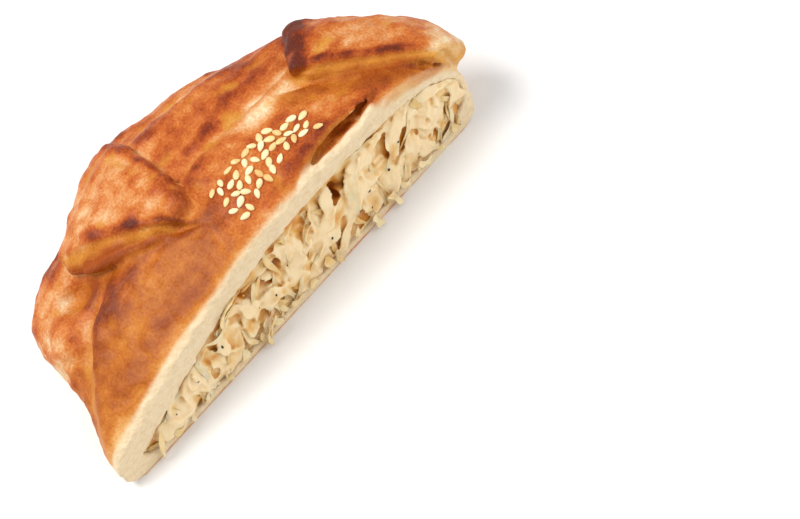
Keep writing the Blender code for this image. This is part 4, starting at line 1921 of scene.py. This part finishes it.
@dataclass
class Studio:
    """A pale floor, soft light from above and a camera at the picture's angle."""

    azimuth: float = -32.0
    elevation: float = 61.0
    roll: float = 19.0
    distance: float = 650.0
    focal_px: float = 2294.46
    middle_px: Pair = (308.05, 288.33)
    picture: Pair = (800.0, 519.0)
    floor_colour: str = "#f4f3f1"

    def camera(self) -> None:
        """Sets the camera so that the cut's middle falls where the picture has it."""
        a, e, r = (math.radians(v) for v in (self.azimuth, self.elevation, self.roll))
        back = Vector((math.sin(a) * math.cos(e), -math.cos(a) * math.cos(e), math.sin(e)))
        right = Vector((math.cos(a), math.sin(a), 0.0))
        up = back.cross(right)
        side = math.cos(r) * right - math.sin(r) * up
        over = math.sin(r) * right + math.cos(r) * up
        off_x = (self.middle_px[0] - self.picture[0] / 2.0) / self.focal_px * self.distance
        off_y = -(self.middle_px[1] - self.picture[1] / 2.0) / self.focal_px * self.distance
        place = -(off_x * side + off_y * over) + self.distance * back
        place = (place - Vector((0.0, ORIGIN_Y, 0.0))) * MM
        data = bpy.data.cameras.new("camera")
        data.sensor_width = 36.0
        data.lens = self.focal_px / self.picture[0] * data.sensor_width
        data.clip_start = 0.01
        data.clip_end = 20.0
        camera = bpy.data.objects.new("camera", data)
        turn = Matrix((side, over, back)).transposed().to_4x4()
        camera.matrix_world = Matrix.Translation(place) @ turn
        bpy.context.scene.collection.objects.link(camera)
        bpy.context.scene.camera = camera

    def floor(self) -> None:
        """A matt pale sheet under the pastry."""
        mesh = bpy.data.meshes.new("floor")
        mesh.from_pydata([(-3, -3, 0), (3, -3, 0), (3, 3, 0), (-3, 3, 0)], [], [(0, 1, 2, 3)])
        floor = linked("floor", mesh)
        material, _, shader = new_material("matt white card")
        feed(shader, {"Base Color": linear(self.floor_colour), "Roughness": 0.9})
        mesh.materials.append(material)

    def light(self, name: str, place: Sequence[float], size: float, power: float) -> None:
        """A soft square light aimed at the pastry.

        Args:
            name: the light's name.
            place: where it hangs, in metres.
            size: its side in metres.
            power: its power in watts.
        """
        data = bpy.data.lights.new(name, "AREA")
        data.size = size
        data.energy = power
        lamp = bpy.data.objects.new(name, data)
        lamp.location = place
        lamp.rotation_mode = "QUATERNION"
        lamp.rotation_quaternion = Vector(place).to_track_quat("Z", "Y")
        bpy.context.scene.collection.objects.link(lamp)

    def build(self) -> None:
        """Floor, lights, surroundings and camera."""
        self.floor()
        self.light("key", (-0.35, 0.35, 0.9), 0.5, 9.0)
        self.light("fill", (0.6, -0.7, 0.7), 1.0, 5.5)
        world = bpy.data.worlds.new("studio")
        world.use_nodes = True
        feed(world.node_tree.nodes["Background"], {"Color": linear("#f6f8fb"), "Strength": 0.55})
        bpy.context.scene.world = world
        bpy.context.scene.view_settings.view_transform = "Standard"
        self.camera()


def main() -> None:
    """Builds the pastry piece by piece, then the studio round it."""
    logging.basicConfig(level=logging.INFO, format="%(name)s %(message)s")
    crust = Crust().build()
    show(crust, "crust")
    seeds = SesameTopping().build(crust)
    show(seeds, "crust")
    filling = CabbageFilling()
    cabbage = filling.build()
    for piece in cabbage:
        show(piece, "cabbage_filling")
    show(filling.specks(cabbage), None)
    Studio().build()


if __name__ == "__main__":
    main()
